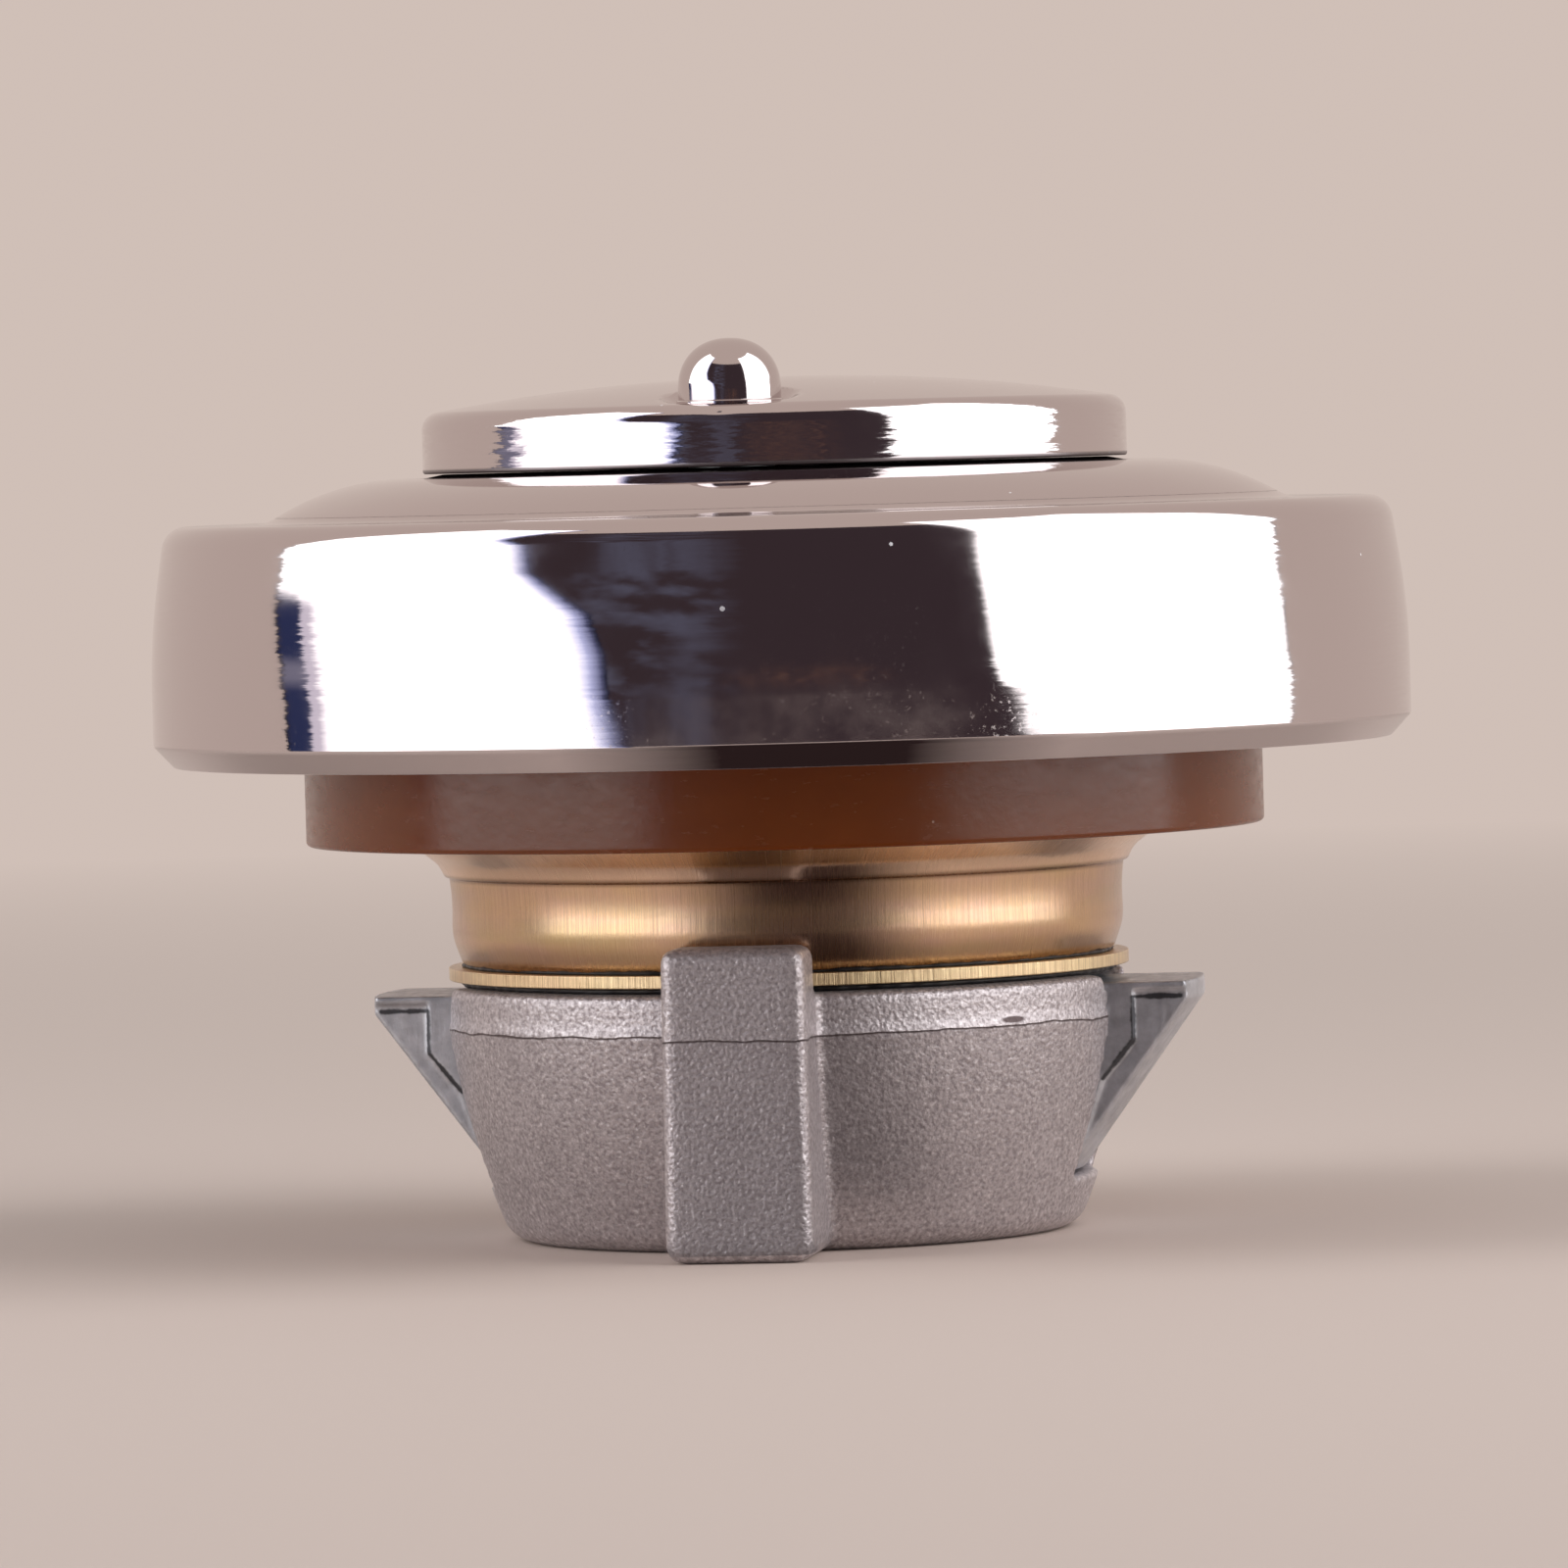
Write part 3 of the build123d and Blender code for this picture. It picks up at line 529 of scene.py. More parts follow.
def pawl_spring(name, node, side):
    """Spring of a node's size, coiled along X from its inner end to its outer end."""
    low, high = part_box(node)
    near, far = sorted((abs(low.x), abs(high.x)))
    level = (low.z + high.z) / 2 / MM
    spring = coil(name, near / MM, far / MM - 0.05, high.y / MM, level, side)
    dress(spring, "cap_body", "spring_steel", node)
    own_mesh(spring)
    return spring


right_spring = pawl_spring("right_spring_coil", "right_pawl_spring", 1)
left_spring = pawl_spring("left_spring_coil", "left_pawl_spring", -1)

# %% [markdown]
# A material in Blender is a small network of nodes. A few helpers keep the networks short: they make a
# material with its shader set, add a node, link it, and give noise, specks and bands. All patterns on the
# cap read the Object coordinates, so they stay fixed on the piece when it moves.


# %% Material helpers
def finish(name, colour, metallic, roughness, **sockets):
    """Material with a Principled shader. Further sockets are given by name with _ for a space."""
    material = bpy.data.materials.new(name)
    material.use_nodes = True
    shader = material.node_tree.nodes["Principled BSDF"]
    shader.inputs["Base Color"].default_value = (*colour, 1)
    shader.inputs["Metallic"].default_value = metallic
    shader.inputs["Roughness"].default_value = roughness
    for socket, value in sockets.items():
        shader.inputs[socket.replace("_", " ")].default_value = value
    return material


def add(material, kind, inputs=None, **settings):
    """New node of a kind. inputs maps a socket's name or number to a value or to another node's output."""
    tree = material.node_tree
    node = tree.nodes.new("ShaderNode" + kind)
    for key, value in settings.items():
        setattr(node, key, value)
    for key, value in (inputs or {}).items():
        if isinstance(value, bpy.types.NodeSocket):
            tree.links.new(value, node.inputs[key])
        else:
            node.inputs[key].default_value = value
    return node


def link(material, output, node, socket):
    """Link an output to a socket of a node."""
    material.node_tree.links.new(output, node.inputs[socket])


def feed(material, socket, output):
    """Link an output to a socket of the material's shader."""
    link(material, output, material.node_tree.nodes["Principled BSDF"], socket)


def show(material, shader):
    """Link a shader to the material's output."""
    link(material, shader.outputs[0], material.node_tree.nodes["Material Output"], "Surface")


def paint(material, *pieces):
    """Make a material the only one of each piece."""
    for piece in pieces:
        piece.data.materials.clear()
        piece.data.materials.append(material)
    print(material.name, "on", *(piece.name for piece in pieces))


def object_place(material):
    """Object coordinates, in metres."""
    return add(material, "TexCoord").outputs["Object"]


def calc(material, operation, first, second=0.0):
    """One step of arithmetic."""
    return add(material, "Math", {0: first, 1: second}, operation=operation).outputs[0]


def product(material, first, second):
    """First times second."""
    return calc(material, "MULTIPLY", first, second)


def apart(material, first, second):
    """Distance between two numbers."""
    return calc(material, "ABSOLUTE", calc(material, "SUBTRACT", first, second))


def vector(material, operation, first, second=(0, 0, 0)):
    """One step of arithmetic on vectors."""
    return add(material, "VectorMath", {0: first, 1: second}, operation=operation).outputs[0]


def scaled(material, first, amount):
    """Vector times a number."""
    return add(material, "VectorMath", {0: first, "Scale": amount}, operation="SCALE").outputs[0]


def length(material, first):
    """Length of a vector."""
    return add(material, "VectorMath", {0: first}, operation="LENGTH").outputs["Value"]


def noise(material, place, scale, detail=3.0, roughness=0.5):
    """Noise whose grain is about one over scale: one number, or one each along x, y and z."""
    each = scale if isinstance(scale, tuple) else (scale, scale, scale)
    stretched = vector(material, "MULTIPLY", place, each)
    settings = {"Vector": stretched, "Scale": 1.0, "Detail": detail, "Roughness": roughness}
    return add(material, "TexNoise", settings).outputs["Fac"]


def round_noise(material, place, across, along, detail, roughness=0.5):
    """Noise on a turned piece, read at: direction from the axis times across, plus height times along."""
    way = vector(material, "NORMALIZE", vector(material, "MULTIPLY", place, (1, 1, 0)))
    wide = vector(material, "MULTIPLY", way, (across, across, across))
    tall = vector(material, "MULTIPLY", place, (0, 0, along))
    return noise(material, vector(material, "ADD", wide, tall), 1, detail, roughness)


def reach(material, value, low, high, start=0.0, end=1.0):
    """Value brought from the range low to high to the range start to end, and held there."""
    settings = {"Value": value, "From Min": low, "From Max": high, "To Min": start, "To Max": end}
    return add(material, "MapRange", settings).outputs["Result"]


def band(material, value, first, second):
    """1 between two fades. Each fade is a pair of values: where it is 0, and where it is 1."""
    return product(material, reach(material, value, *first), reach(material, value, *second))


def specks(material, place, scale, rare, size):
    """1 in dots of a cell pattern. Only the cells whose chance is above rare get one, of up to size."""
    cells = add(material, "TexVoronoi", {"Vector": place, "Scale": scale}).outputs
    chance = add(material, "SeparateColor", {"Color": cells["Color"]}).outputs[0]
    return calc(material, "LESS_THAN", cells["Distance"], reach(material, chance, rare, 1.0, 0.0, size))


def mixed(material, share, first, second):
    """Colour that goes from first to second as share goes from 0 to 1. Either may be an output."""
    node = add(material, "MixRGB", {"Fac": share})
    for key, value in (("Color1", first), ("Color2", second)):
        if isinstance(value, bpy.types.NodeSocket):
            link(material, value, node, key)
        else:
            node.inputs[key].default_value = (*value, 1)
    return node.outputs["Color"]


def relief(material, height, depth, below=None):
    """Bump whose height of 1 is depth in millimetres, laid over another bump if given."""
    inputs = {"Height": height, "Distance": depth * MM, "Strength": 1.0}
    if below:
        inputs["Normal"] = below
    return add(material, "Bump", inputs).outputs["Normal"]


def axis_distance(material, place):
    """Distance from the upright axis, in metres."""
    return length(material, vector(material, "MULTIPLY", place, (1, 1, 0)))


def height_of(material, place):
    """Height, in metres."""
    return add(material, "SeparateXYZ", {"Vector": place}).outputs["Z"]


# %% [markdown]
# Chrome plate is a mirror that shows how it was polished. Four things break a perfect mirror here: slow
# waves of the sheet under it, fine lines of the polishing wheel, dust and haze, and the dull corner under
# the shutter, which also carries a painted shade for the dark gap there. The wheel runs round the piece,
# so its lines tilt the mirror sideways by a little, differently at each height, and that frays the upright
# edges of what is mirrored. The dust is a pale speck in a few cells of a cell pattern.


# %% Chrome
CHROME_TONE = (0.66, 0.60, 0.60)
# Fades of the painted shade under the shutter in metres: on its way in, on its way out, and downwards.
GAP_SHADE_OUTSIDE = (0.0274, 0.0263)
GAP_SHADE_INSIDE = (0.0240, 0.0248)
GAP_SHADE_HEIGHT = (0.05845, 0.0583)


def tilted(material, amount, strength):
    """Surface direction turned about the upright by amount, which lies round 0.5, times strength."""
    normal = add(material, "NewGeometry").outputs["Normal"]
    sideways = vector(material, "CROSS_PRODUCT", (0, 0, 1), normal)
    turn = product(material, calc(material, "SUBTRACT", amount, 0.5), strength)
    return vector(material, "NORMALIZE", vector(material, "ADD", normal, scaled(material, sideways, turn)))


def chrome_finish(name, wave, line, line_across, line_along, fray):
    """Chrome with sheet waves and polishing lines of given heights in millimetres, frayed by an angle.
    A painted shade darkens the corner between the shutter's skirt and the cover, which is also duller
    there."""
    chrome = finish(name, CHROME_TONE, 1.0, 0.05)
    place = object_place(chrome)
    waves = noise(chrome, place, 70, 1.0)
    streaks = round_noise(chrome, place, line_across, line_along, 4.0, 0.6)
    shreds = round_noise(chrome, place, 9.0, 3800.0, 4.0, 0.7)
    dust = specks(chrome, place, 420.0, 0.84, 0.08)
    rough = reach(chrome, noise(chrome, place, 160, 4.0, 0.65), 0.35, 0.75, 0.035, 0.10)
    # Painted shade: the corner under the shutter's skirt is made dark and dull, for the dark gap there.
    corner = band(chrome, axis_distance(chrome, place), GAP_SHADE_OUTSIDE, GAP_SHADE_INSIDE)
    gap_shade = product(chrome, corner, reach(chrome, height_of(chrome, place), *GAP_SHADE_HEIGHT))
    clean = mixed(chrome, dust, CHROME_TONE, (0.85, 0.85, 0.88))
    feed(chrome, "Base Color", mixed(chrome, gap_shade, clean, (0.035, 0.022, 0.024)))
    dusted = calc(chrome, "MAXIMUM", rough, product(chrome, dust, 0.6))
    spots = reach(chrome, noise(chrome, place, 3300, 2.0, 0.6), 0.58, 0.70)
    misty = reach(chrome, noise(chrome, place, 95, 2.0), 0.46, 0.60)
    haze = product(chrome, spots, misty)
    dusted = calc(chrome, "MAXIMUM", dusted, product(chrome, haze, 0.18))
    feed(chrome, "Roughness", calc(chrome, "MAXIMUM", dusted, product(chrome, gap_shade, 0.5)))
    combed = round_noise(chrome, place, 2.5, 160.0, 2.0)
    frayed = reach(chrome, combed, 0.40, 0.62, 0.15 * fray, fray)
    base = relief(chrome, waves, wave, tilted(chrome, shreds, frayed))
    feed(chrome, "Normal", relief(chrome, streaks, line, base))
    return chrome


chrome = chrome_finish("chrome_cover", 0.05, 0.0010, 26.0, 500.0, 0.07)
chrome_lid = chrome_finish("chrome_lid", 0.03, 0.003, 30.0, 2200.0, 0.30)
chrome_stud = chrome_finish("chrome_stud", 0.004, 0.0004, 20.0, 400.0, 0.0)
paint(chrome, cover)
paint(chrome_lid, shutter)
paint(chrome_stud, stud)

# %% [markdown]
# The cup and the plate are steel with yellow-passivated zinc. The film is thin, so it turns from gold to
# pink and olive in soft patches. The sheet's drawing marks run straight up the cup's wall, and not over
# its bends, and the plate's punched edge has coarser ones. Roughness is fairly high, which spreads the
# lamps into wide soft bands.


# %% Yellow zinc
def zinc_finish(name, line, across, rough, low, high, tones):
    """Gold film over drawn steel. Upright lines, as many as across to the radian and of a height of line
    millimetres, lie between two levels. A clear coat makes the highlights paler. Painted shade darkens the
    sheet at its foot and in the crease at the cup's step, and a painted highlight makes the flare paler."""
    zinc = finish(name, tones[0], 1.0, rough, Coat_Weight=0.4, Coat_Roughness=0.2, Coat_IOR=1.5)
    place = object_place(zinc)
    lines = round_noise(zinc, place, across, 60.0, 4.0, 0.7)
    level = height_of(zinc, place)
    foot_fade = ((low - 0.6) * MM, (low + 0.3) * MM)
    top_fade = ((high + 0.3) * MM, (high - 0.6) * MM)
    drawn = band(zinc, level, foot_fade, top_fade)
    patches = noise(zinc, place, (110, 110, 260), 3.0, 0.6)
    gold = mixed(zinc, reach(zinc, patches, 0.38, 0.62), tones[0], tones[1])
    olive = noise(zinc, place, (60, 60, 400), 2.0)
    film = mixed(zinc, reach(zinc, olive, 0.52, 0.75, 0.0, 0.4), gold, (0.50, 0.44, 0.20))
    # Painted highlight: the flare is made paler.
    flare_light_paint = reach(zinc, level, (high + 0.1) * MM, (high + 0.5) * MM, 0.0, 0.75)
    film = mixed(zinc, flare_light_paint, film, (0.95, 0.69, 0.50))
    # Painted shade: the foot of the cup is made darker.
    foot_shade_paint = reach(zinc, level, (low - 0.9) * MM, (low - 2.8) * MM, 0.0, 0.6)
    film = mixed(zinc, foot_shade_paint, film, (0.22, 0.12, 0.06))
    worn = product(zinc, reach(zinc, lines, 0.45, 0.62, 0.0, 0.6), drawn)
    # Painted shade: a dark line in the crease at the step.
    from_step = apart(zinc, level, (step_level + 0.05) * MM)
    crease = reach(zinc, from_step, 0.00034, 0.00008, 0.0, 0.6)
    feed(zinc, "Base Color", mixed(zinc, crease, mixed(zinc, worn, film, tones[2]), (0.15, 0.07, 0.03)))
    feed(zinc, "Roughness", reach(zinc, lines, 0.3, 0.7, rough - 0.04, rough + 0.06))
    fine = noise(zinc, place, 1100, 2.0)
    feed(zinc, "Normal", relief(zinc, fine, 0.006, relief(zinc, product(zinc, lines, drawn), line)))
    return zinc


cup_tones = [(0.70, 0.47, 0.265), (0.66, 0.43, 0.30), (0.40, 0.25, 0.155)]
plate_tones = [(0.92, 0.74, 0.44), (0.84, 0.62, 0.37), (0.32, 0.21, 0.11)]
drawn_low = cup_bottom + 3.0
punched_low = cup_bottom - 1.2
punched_high = cup_bottom + 1.0
zinc_cup = zinc_finish("yellow_zinc_cup", 0.006, 420.0, 0.24, drawn_low, step_level, cup_tones)
zinc_plate = zinc_finish("yellow_zinc_plate", 0.06, 210.0, 0.30, punched_low, punched_high, plate_tones)
paint(zinc_cup, cup)
paint(zinc_plate, lid)

# %% [markdown]
# Brown rubber is dark where nothing pale is mirrored in it and shows a dull lilac sheen towards the
# lamps. A little light enters and comes out again further on, which Subsurface does, and makes the ends
# of the ring glow amber.

# %% Rubber
rubber = finish(
    "brown_rubber",
    (0.15, 0.042, 0.010),
    0.0,
    0.26,
    Subsurface_Weight=0.12,
    Subsurface_Scale=0.003,
    Specular_IOR_Level=0.45,
)
rubber_place = object_place(rubber)
cloud = noise(rubber, rubber_place, (90, 90, 160), 4.0, 0.6)
scuffs = noise(rubber, rubber_place, (420, 420, 1300), 4.0, 0.7)
rubber_tone = mixed(rubber, cloud, (0.120, 0.024, 0.002), (0.190, 0.048, 0.007))
scuffed = reach(rubber, scuffs, 0.60, 0.78, 0.0, 0.2)
rubber_tone = mixed(rubber, scuffed, rubber_tone, (0.30, 0.14, 0.075))
bits = product(rubber, specks(rubber, rubber_place, 520.0, 0.88, 0.07), 0.6)
feed(rubber, "Base Color", mixed(rubber, bits, rubber_tone, (0.62, 0.50, 0.44)))
feed(rubber, "Roughness", reach(rubber, scuffs, 0.35, 0.7, 0.18, 0.30))
feed(rubber, "Normal", relief(rubber, noise(rubber, rubber_place, 1500), 0.012))

black_rubber = finish("black_rubber", (0.018, 0.018, 0.02), 0.0, 0.42)
black_grain = noise(black_rubber, object_place(black_rubber), 1300, 4.0)
feed(black_rubber, "Normal", relief(black_rubber, black_grain, 0.05))
paint(rubber, gasket)
paint(black_rubber, lid_gasket, squeeze_out)

# %% [markdown]
# The housing was cast in aluminium and blasted, which leaves a skin of fine round dents with a glint on
# each rim. A fine cell pattern with noise over it gives the relief. The noise gives the tone of the grain
# too, because tone holds up where the picture is noisy. The two halves of the mould met at one level: a
# small step runs round there with a thin painted shadow line under it, a painted shadow under a little
# flash at the left and painted shade in a chip at the right. Above it the band is paler, partly by its own
# cleaner skin and partly by a painted highlight.


# %% Cast alloy
def near_point(material, parts, x, z, wide, high):
    """1 at a spot on the front and 0 outside an ellipse round it, given in millimetres."""
    across = calc(material, "DIVIDE", calc(material, "SUBTRACT", parts["X"], x * MM), wide * MM)
    along = calc(material, "DIVIDE", calc(material, "SUBTRACT", parts["Z"], z * MM), high * MM)
    away = length(material, add(material, "CombineXYZ", {"X": across, "Y": along}).outputs[0])
    front = calc(material, "LESS_THAN", parts["Y"], 0.0)
    return product(material, reach(material, away, 1.0, 0.7), front)


parting_level = 16.2
parting_wander = 0.0006
cast = finish("cast_alloy", (0.40, 0.37, 0.37), 0.6, 0.46)
cast_place = object_place(cast)
cast_parts = add(cast, "SeparateXYZ", {"Vector": cast_place}).outputs
cells = add(cast, "TexVoronoi", {"Vector": cast_place, "Scale": 3300.0}, feature="SMOOTH_F1")
grain = noise(cast, cast_place, 2900, 2.0, 0.6)
slow = noise(cast, cast_place, 140, 3.0, 0.55)
wavy = calc(cast, "SUBTRACT", noise(cast, cast_place, (260, 260, 0)), 0.5)
from_level = calc(cast, "SUBTRACT", cast_parts["Z"], parting_level * MM)
from_parting = calc(cast, "SUBTRACT", from_level, product(cast, wavy, parting_wander))
# Painted shadow: a thin dark line along the mould line, under the step of the band.
parting_shadow = reach(cast, calc(cast, "ABSOLUTE", from_parting), 0.00011, 0.00003)
upper = reach(cast, from_parting, 0.0, 0.0001)
# Painted shadow under the flash at the left, and painted shade in the chip at the right.
flash = near_point(cast, cast_parts, -17.8, parting_level + 0.1, 2.7, 0.28)
flash_shadow = product(cast, flash, reach(cast, from_parting, -0.0001, 0.0001, 0.8, 0.2))
chip = near_point(cast, cast_parts, 19.0, parting_level + 0.5, 0.9, 0.28)
tone = mixed(cast, reach(cast, slow, 0.3, 0.7), (0.47, 0.425, 0.435), (0.55, 0.50, 0.51))
# The band above the mould line is paler: partly its own cleaner skin, partly a painted highlight.
tone = mixed(cast, product(cast, upper, 0.5), tone, (0.62, 0.57, 0.58))
tone = mixed(cast, reach(cast, grain, 0.52, 0.38, 0.0, 0.5), tone, (0.20, 0.165, 0.17))
tone = mixed(cast, reach(cast, grain, 0.58, 0.72, 0.0, 0.6), tone, (0.88, 0.84, 0.85))
tone = mixed(cast, product(cast, parting_shadow, 0.75), tone, (0.10, 0.075, 0.075))
tone = mixed(cast, flash_shadow, tone, (0.12, 0.09, 0.09))
feed(cast, "Base Color", mixed(cast, chip, tone, (0.11, 0.08, 0.08)))
feed(cast, "Roughness", reach(cast, grain, 0.3, 0.7, 0.52, 0.36))
skin = calc(cast, "ADD", cells.outputs["Distance"], grain)
feed(cast, "Normal", relief(cast, skin, 0.05, relief(cast, upper, 0.12)))
paint(cast, housing)

# %% [markdown]
# The pawls are die-cast zinc, bluer and smoother than the housing, with fine marks that run up and across
# their faces. A painted shadow line runs along the corner of the step on each front face. That corner is
# three straight runs, and the painted shadow is dark where the distance to the nearest of them is small.


# %% Cast zinc
def run_distance(material, parts, start, end):
    """Distance from the point (|x|, z) to a straight run between two such points in millimetres."""
    (ax, az), (bx, bz) = start, end
    run = ((bx - ax) ** 2 + (bz - az) ** 2) ** 0.5
    side = calc(material, "ABSOLUTE", parts["X"])
    point = add(material, "CombineXYZ", {"X": side, "Y": parts["Z"]}).outputs[0]
    offset = vector(material, "SUBTRACT", point, (ax * MM, az * MM, 0))
    way = ((bx - ax) / run, (bz - az) / run, 0)
    along = add(material, "VectorMath", {0: offset, 1: way}, operation="DOT_PRODUCT").outputs["Value"]
    held = reach(material, along, 0.0, run * MM, 0.0, run * MM)
    return length(material, vector(material, "SUBTRACT", offset, scaled(material, way, held)))


pawl_metal = finish("cast_zinc", (0.48, 0.50, 0.53), 0.7, 0.38)
pawl_place = object_place(pawl_metal)
pawl_parts = add(pawl_metal, "SeparateXYZ", {"Vector": pawl_place}).outputs
scratches = noise(pawl_metal, pawl_place, (1800, 260, 260), 5.0, 0.7)
blotches = noise(pawl_metal, pawl_place, 420, 4.0, 0.65)
corner = [(30.3, 17.6), (26.7, 17.6), (26.7, 14.4), (24.3, 11.5)]
runs = [run_distance(pawl_metal, pawl_parts, a, b) for a, b in zip(corner, corner[1:])]
nearest = calc(pawl_metal, "MINIMUM", calc(pawl_metal, "MINIMUM", runs[0], runs[1]), runs[2])
ragged = calc(pawl_metal, "ADD", nearest, reach(pawl_metal, blotches, 0.35, 0.65, -0.0001, 0.0001))
# Painted shadow: a dark line along the corner of the step.
step_shadow = product(pawl_metal, reach(pawl_metal, ragged, 0.00022, 0.00008), 0.9)
pawl_share = reach(pawl_metal, blotches, 0.35, 0.65)
pawl_tone = mixed(pawl_metal, pawl_share, (0.44, 0.45, 0.48), (0.66, 0.67, 0.71))
feed(pawl_metal, "Base Color", mixed(pawl_metal, step_shadow, pawl_tone, (0.03, 0.03, 0.035)))
feed(pawl_metal, "Roughness", reach(pawl_metal, scratches, 0.35, 0.7, 0.30, 0.52))
feed(pawl_metal, "Normal", relief(pawl_metal, blotches, 0.05, relief(pawl_metal, scratches, 0.02)))
paint(pawl_metal, right_pawl, left_pawl)

# %% [markdown]
# What is left is inside the cap: the lock, its cam, springs, screws and washers. The barrel and the plug
# show when the shutter is open, so all of these get turned, plated or felted finishes too.


# %% Inner finishes
def machined(name, colour, rough, rings):
    """Metal with the fine rings that a lathe leaves, which follow the distance from the axis."""
    metal = finish(name, colour, 1.0, rough)
    place = object_place(metal)
    away = product(metal, axis_distance(metal, place), rings)
    marks = noise(metal, add(metal, "CombineXYZ", {"X": away}).outputs[0], 1, 3.0, 0.6)
    patches = reach(metal, noise(metal, place, 200), 0.35, 0.65)
    darker = tuple(0.8 * c for c in colour)
    feed(metal, "Base Color", mixed(metal, patches, darker, colour))
    feed(metal, "Roughness", reach(metal, marks, 0.3, 0.7, rough - 0.07, rough + 0.1))
    feed(metal, "Normal", relief(metal, marks, 0.006))
    return metal


felt = finish("wool_felt", (0.50, 0.48, 0.45), 0.0, 0.9, Sheen_Weight=0.4)
fibres = noise(felt, object_place(felt), (1500, 1500, 900), 6.0, 0.75)
feed(felt, "Base Color", mixed(felt, fibres, (0.36, 0.34, 0.31), (0.62, 0.60, 0.57)))
feed(felt, "Normal", relief(felt, fibres, 0.15))
turned_finishes = {
    "lock_barrel": ("barrel_zinc", (0.62, 0.62, 0.63), 0.30, 3000.0),
    "lock_plug": ("turned_brass", (0.72, 0.56, 0.30), 0.25, 3500.0),
    "plug_wafers": ("sheet_brass", (0.70, 0.55, 0.30), 0.35, 600.0),
    "plug_clip": ("clip_steel", (0.55, 0.55, 0.56), 0.35, 2500.0),
    "latch_cam": ("cam_steel", (0.58, 0.58, 0.59), 0.38, 900.0),
    "barrel_nut": ("nut_steel", (0.60, 0.60, 0.61), 0.33, 1500.0),
    "housing_screws": ("screw_steel", (0.60, 0.60, 0.61), 0.30, 1500.0),
    "stud_backing_washer": ("washer_steel", (0.60, 0.60, 0.60), 0.35, 1500.0),
    "stud_spacer": ("spacer_steel", (0.58, 0.58, 0.58), 0.35, 1500.0),
    "stud_spring_washer": ("spring_washer_steel", (0.50, 0.50, 0.52), 0.30, 2500.0),
}
for name, settings in turned_finishes.items():
    paint(machined(*settings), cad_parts[name])
paint(black_rubber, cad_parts["barrel_seal"])
paint(felt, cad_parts["breather_felt"])
spring_wire = machined("spring_wire", (0.55, 0.55, 0.57), 0.25, 400.0)
paint(spring_wire, left_spring, right_spring)

# %% [markdown]
# Polished metal shows the room, so the room is built for it. A pale floor and a pale surround give the
# calm grey-beige of the sides. Two tall soft boxes, bent round the cap at arm's length, give the white
# patches, and a dark screen behind the camera gives the deep middle. Each screen is a piece of a cylinder
# wall about the cap's axis, set out by bearing and height, and none of them is seen by the camera itself.

# %% Camera direction and screens
camera_bearing = 7.8


def screen(name, radius, left, right, material):
    """Piece of a cylinder wall about the axis. Each side is a run of height in metres and bearing in
    degrees from the camera's direction. Its UV is the share of the width, and the height in metres."""
    across = np.linspace(0, 1, 49)[None, :]
    height = np.unique(np.concatenate([np.linspace(0, 0.3, 61), np.linspace(0.3, 1.2, 19)]))[:, None]
    start = np.interp(height, *np.array(left, float).T)
    end = np.interp(height, *np.array(right, float).T)
    bearing = np.radians(camera_bearing + start + (end - start) * across)
    z = height * np.ones_like(across)
    points = np.stack([radius * np.sin(bearing), -radius * np.cos(bearing), z], 2)
    piece = make_mesh(name, points.reshape(-1, 3) / MM, grid_quads(np.arange(z.size).reshape(z.shape)))
    uv = piece.data.uv_layers.new(name="screen")
    corners = np.zeros(len(piece.data.loops), np.int32)
    piece.data.loops.foreach_get("vertex_index", corners)
    flat = np.stack(np.broadcast_arrays(across, height), 2).reshape(-1, 2)
    uv.data.foreach_set("uv", flat[corners].astype(np.float32).ravel())
    piece.data.materials.append(material)
    piece.visible_camera = False
    print(name, "radius", radius, "corners", len(points.reshape(-1, 3)))
    return piece


def glow(name, colour, strength):
    """Light-giving material. Returns it with its light node, its UV, and the share and height in that."""
    material = bpy.data.materials.new(name)
    material.use_nodes = True
    material.node_tree.nodes.clear()
    place = add(material, "TexCoord").outputs["UV"]
    parts = add(material, "SeparateXYZ", {"Vector": place}).outputs
    light = add(material, "Emission", {"Color": (*colour, 1), "Strength": strength})
    add(material, "OutputMaterial")
    show(material, light)
    return material, light, place, parts["X"], parts["Y"]


# %% Soft boxes
BOX_POWER = 2.6
BOX_WHITE = (1.0, 0.99, 1.0)


def soft_box(name):
    """Glow of a soft box, whose light fades over a small share of its width at both upright edges."""
    material, light, _, share, height = glow(name, BOX_WHITE, BOX_POWER)
    fades = band(material, share, (0.0, 0.02), (1.0, 0.98))
    link(material, product(material, fades, BOX_POWER), light, "Strength")
    return material, light, share, height


left_glow, left_light, left_share, left_height = soft_box("left_box_glow")
low_part = reach(left_glow, left_height, 0.145, 0.13)
gap = reach(left_glow, apart(left_glow, left_height, 0.06), 0.006, 0.018, 0.75, 1.0)
navy_side = product(left_glow, reach(left_glow, left_share, 0.105, 0.09), low_part)
lilac = product(left_glow, reach(left_glow, left_share, 0.18, 0.13), low_part)
tint = mixed(left_glow, lilac, BOX_WHITE, (0.33, 0.31, 0.36))
tint = mixed(left_glow, reach(left_glow, left_share, 0.90, 0.955), tint, (0.30, 0.33, 0.50))
tint = mixed(left_glow, reach(left_glow, left_share, 0.95, 0.985), tint, (0.05, 0.055, 0.11))
tint = mixed(left_glow, product(left_glow, navy_side, gap), tint, (0.012, 0.016, 0.045))
link(left_glow, tint, left_light, "Color")
right_glow, *_ = soft_box("right_box_glow")
left_heights = [0, 0.021, 0.027, 0.09, 0.15, 0.2, 0.215, 0.35, 1.2]
left_inner = list(zip(left_heights, [-26, -26.5, -29.6, -30.2, -33.2, -42.7, -47, -52, -58]))
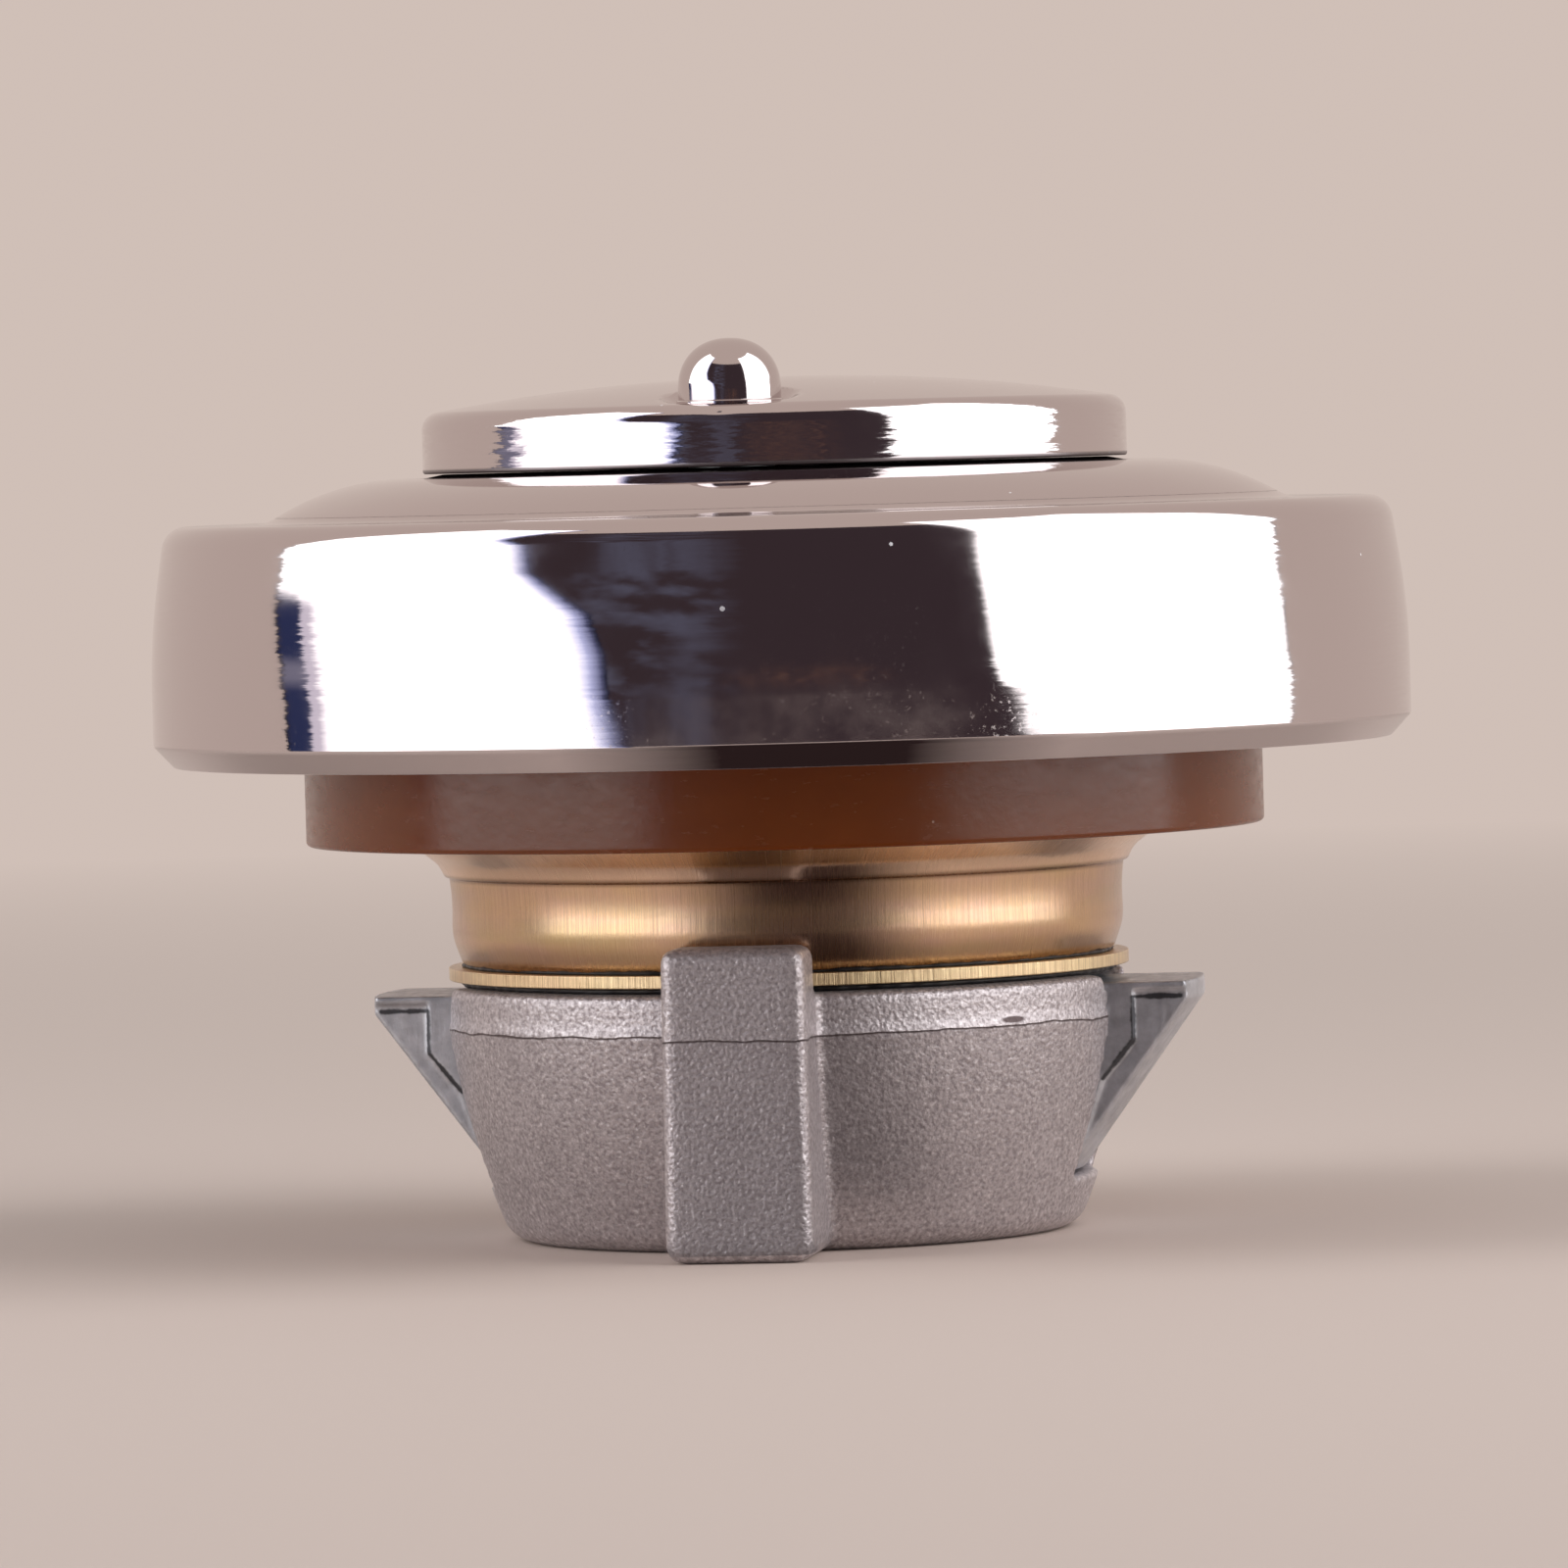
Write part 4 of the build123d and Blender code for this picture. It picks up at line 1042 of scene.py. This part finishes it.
left_outer = [(0, -97.5), (0.03, -98), (0.14, -102.5), (0.2, -101), (1.2, -101)]
right_heights = [0, 0.018, 0.022, 0.027, 0.035, 0.05, 0.09, 0.15, 0.25, 1.2]
right_inner = list(zip(right_heights, [57, 50, 44.5, 40.5, 38, 36.9, 36.2, 35.8, 35, 37]))
right_outer = [(0, 103), (0.03, 102.6), (0.05, 101.5), (0.14, 101.7), (0.2, 105.5), (1.2, 105)]
screen("left_box", 0.60, left_outer, left_inner, left_glow)
screen("right_box", 0.60, right_inner, right_outer, right_glow)

# %% [markdown]
# The dark wall behind the camera is never quite black. A few blotches of blue at its left and thin copper
# streaks near its middle are what the cap's dark middle shows: they are noise laid over its width and
# height.

# %% Dark wall
dark, dark_light, dark_place, dark_share, dark_height = glow("dark_wall_glow", (0.032, 0.021, 0.026), 1.0)
blots = noise(dark, dark_place, (9, 22, 1), 3.0, 0.6)
blue_side = band(dark, dark_share, (0.18, 0.24), (0.46, 0.38))
blue = product(dark, reach(dark, blots, 0.46, 0.62), blue_side)
grains = noise(dark, dark_place, (46, 150, 1), 2.0, 0.7)
copper_side = band(dark, dark_share, (0.42, 0.48), (0.68, 0.60))
copper_height = band(dark, dark_height, (0.036, 0.048), (0.088, 0.074))
copper_place = product(dark, copper_side, copper_height)
copper = product(dark, reach(dark, grains, 0.54, 0.66), copper_place)
wall_tone = mixed(dark, blue, (0.050, 0.034, 0.040), (0.105, 0.105, 0.150))
wall_tone = mixed(dark, copper, wall_tone, (0.30, 0.15, 0.09))
link(dark, wall_tone, dark_light, "Color")
screen("dark_wall", 0.98, [(0, -62), (1.2, -66)], [(0, 60), (1.2, 60)], dark)

# %% [markdown]
# Photographers darken what a mirror sees of a pale table with a black card. One lies in front of the cap
# here. It is hidden from the camera, casts no shadow and takes no light from the table: only mirrors see
# it.

# %% Dark card on the table
card_rows, card_columns = 25, 41
card_inside, card_reach = 0.027, 0.5
card_level = 0.0006
card_share = np.linspace(0, 1, card_rows)[:, None]
card_across = np.linspace(0, 1, card_columns)[None, :]
card_bearing = np.radians(camera_bearing - 48 + 100 * card_across)
card_radius = card_inside + card_reach * card_share
card_x = card_radius * np.sin(card_bearing)
card_y = -card_radius * np.cos(card_bearing)
card_points = np.stack([card_x, card_y, np.full_like(card_x, card_level)], 2)
card_numbers = np.arange(card_x.size).reshape(card_x.shape)
card = make_mesh("dark_card", card_points.reshape(-1, 3) / MM, grid_quads(card_numbers))
card_paint, card_light, *_ = glow("dark_card_glow", (0.030, 0.018, 0.018), 1.0)
card_parts = add(card_paint, "SeparateXYZ", {"Vector": object_place(card_paint)}).outputs
card_turn = calc(card_paint, "ARCTAN2", card_parts["X"], product(card_paint, card_parts["Y"], -1.0))
card_middle = np.radians(camera_bearing + 5)
card_off = apart(card_paint, card_turn, card_middle)
card_cover = reach(card_paint, card_off, np.radians(42), np.radians(15))
clear = add(card_paint, "BsdfTransparent")
card_mix = add(card_paint, "MixShader", {0: card_cover, 1: clear.outputs[0], 2: card_light.outputs[0]})
show(card_paint, card_mix)
card.data.materials.append(card_paint)
card.visible_camera = False
card.visible_diffuse = False
card.visible_shadow = False

# %% [markdown]
# The floor is one large plain sheet, and the world is a plain pale surround. To light the object the
# world is neutral. To the camera and to mirrors it shows the backdrop's tone. Far from the cap the
# floor's paint gives way to the same tone, so that floor and surround meet without a line.

# %% Floor and world
backdrop_tone = (0.63, 0.525, 0.475)
floor_colour = (0.66, 0.555, 0.50)
fade_start, fade_end = 0.10, 0.8
side = 6.0 / MM
floor_points = np.array([(-side, -side, 0), (side, -side, 0), (side, side, 0), (-side, side, 0)])
floor = make_mesh("floor", floor_points, np.array([[0, 1, 2, 3]]))
floor_paint = finish("floor_paint", floor_colour, 0.0, 0.9, Specular_IOR_Level=0.0)
floor_away = axis_distance(floor_paint, object_place(floor_paint))
far = reach(floor_paint, floor_away, fade_start, fade_end)
far_tone = add(floor_paint, "Emission", {"Color": (*backdrop_tone, 1), "Strength": 1.0})
near_tone = floor_paint.node_tree.nodes["Principled BSDF"]
joined = add(floor_paint, "MixShader", {0: far, 1: near_tone.outputs[0], 2: far_tone.outputs[0]})
show(floor_paint, joined)
floor.data.materials.append(floor_paint)

world = bpy.data.worlds.new("surround")
bpy.context.scene.world = world
world.use_nodes = True
world.node_tree.nodes.clear()
rays = add(world, "LightPath").outputs
mirrors = calc(world, "MAXIMUM", rays["Is Glossy Ray"], rays["Is Transmission Ray"])
seen = calc(world, "MAXIMUM", rays["Is Camera Ray"], mirrors)
lighting = add(world, "Background", {"Color": (1, 1, 1, 1), "Strength": 0.4})
backdrop = add(world, "Background", {"Color": (*backdrop_tone, 1), "Strength": 1.0})
both = add(world, "MixShader", {0: seen, 1: lighting.outputs[0], 2: backdrop.outputs[0]})
link(world, both.outputs[0], add(world, "OutputWorld"), "Surface")
print("floor and world ready")

# %% [markdown]
# The camera stands level with the top of the cap's cover, less than a metre away, with a long lens, a few
# degrees to the right of the front lug. It looks at a point on the cap's axis and is rolled a little, as
# the photographer's was.

# %% Camera
camera_distance = 0.80
camera_height = 0.0594
aim_height = 0.0339
camera_roll = -1.6
focal_pixels = 10800
image_pixels = 1600
camera_data = bpy.data.cameras.new("camera")
camera_data.sensor_width = 36.0
camera_data.lens = camera_data.sensor_width * focal_pixels / image_pixels
camera_data.clip_start = 0.05
camera_data.clip_end = 40.0
camera = bpy.data.objects.new("camera", camera_data)
bpy.context.scene.collection.objects.link(camera)
bearing = np.radians(camera_bearing)
spot = Vector((camera_distance * np.sin(bearing), -camera_distance * np.cos(bearing), camera_height))
way = Vector((0, 0, aim_height)) - spot
camera.matrix_world = (
    Matrix.Translation(spot)
    @ way.to_track_quat("-Z", "Y").to_matrix().to_4x4()
    @ Matrix.Rotation(np.radians(camera_roll), 4, "Z")
)
bpy.context.scene.camera = camera
bpy.context.scene.view_settings.view_transform = "Standard"
print("camera at", [round(v, 3) for v in spot], "lens", round(camera_data.lens, 1))
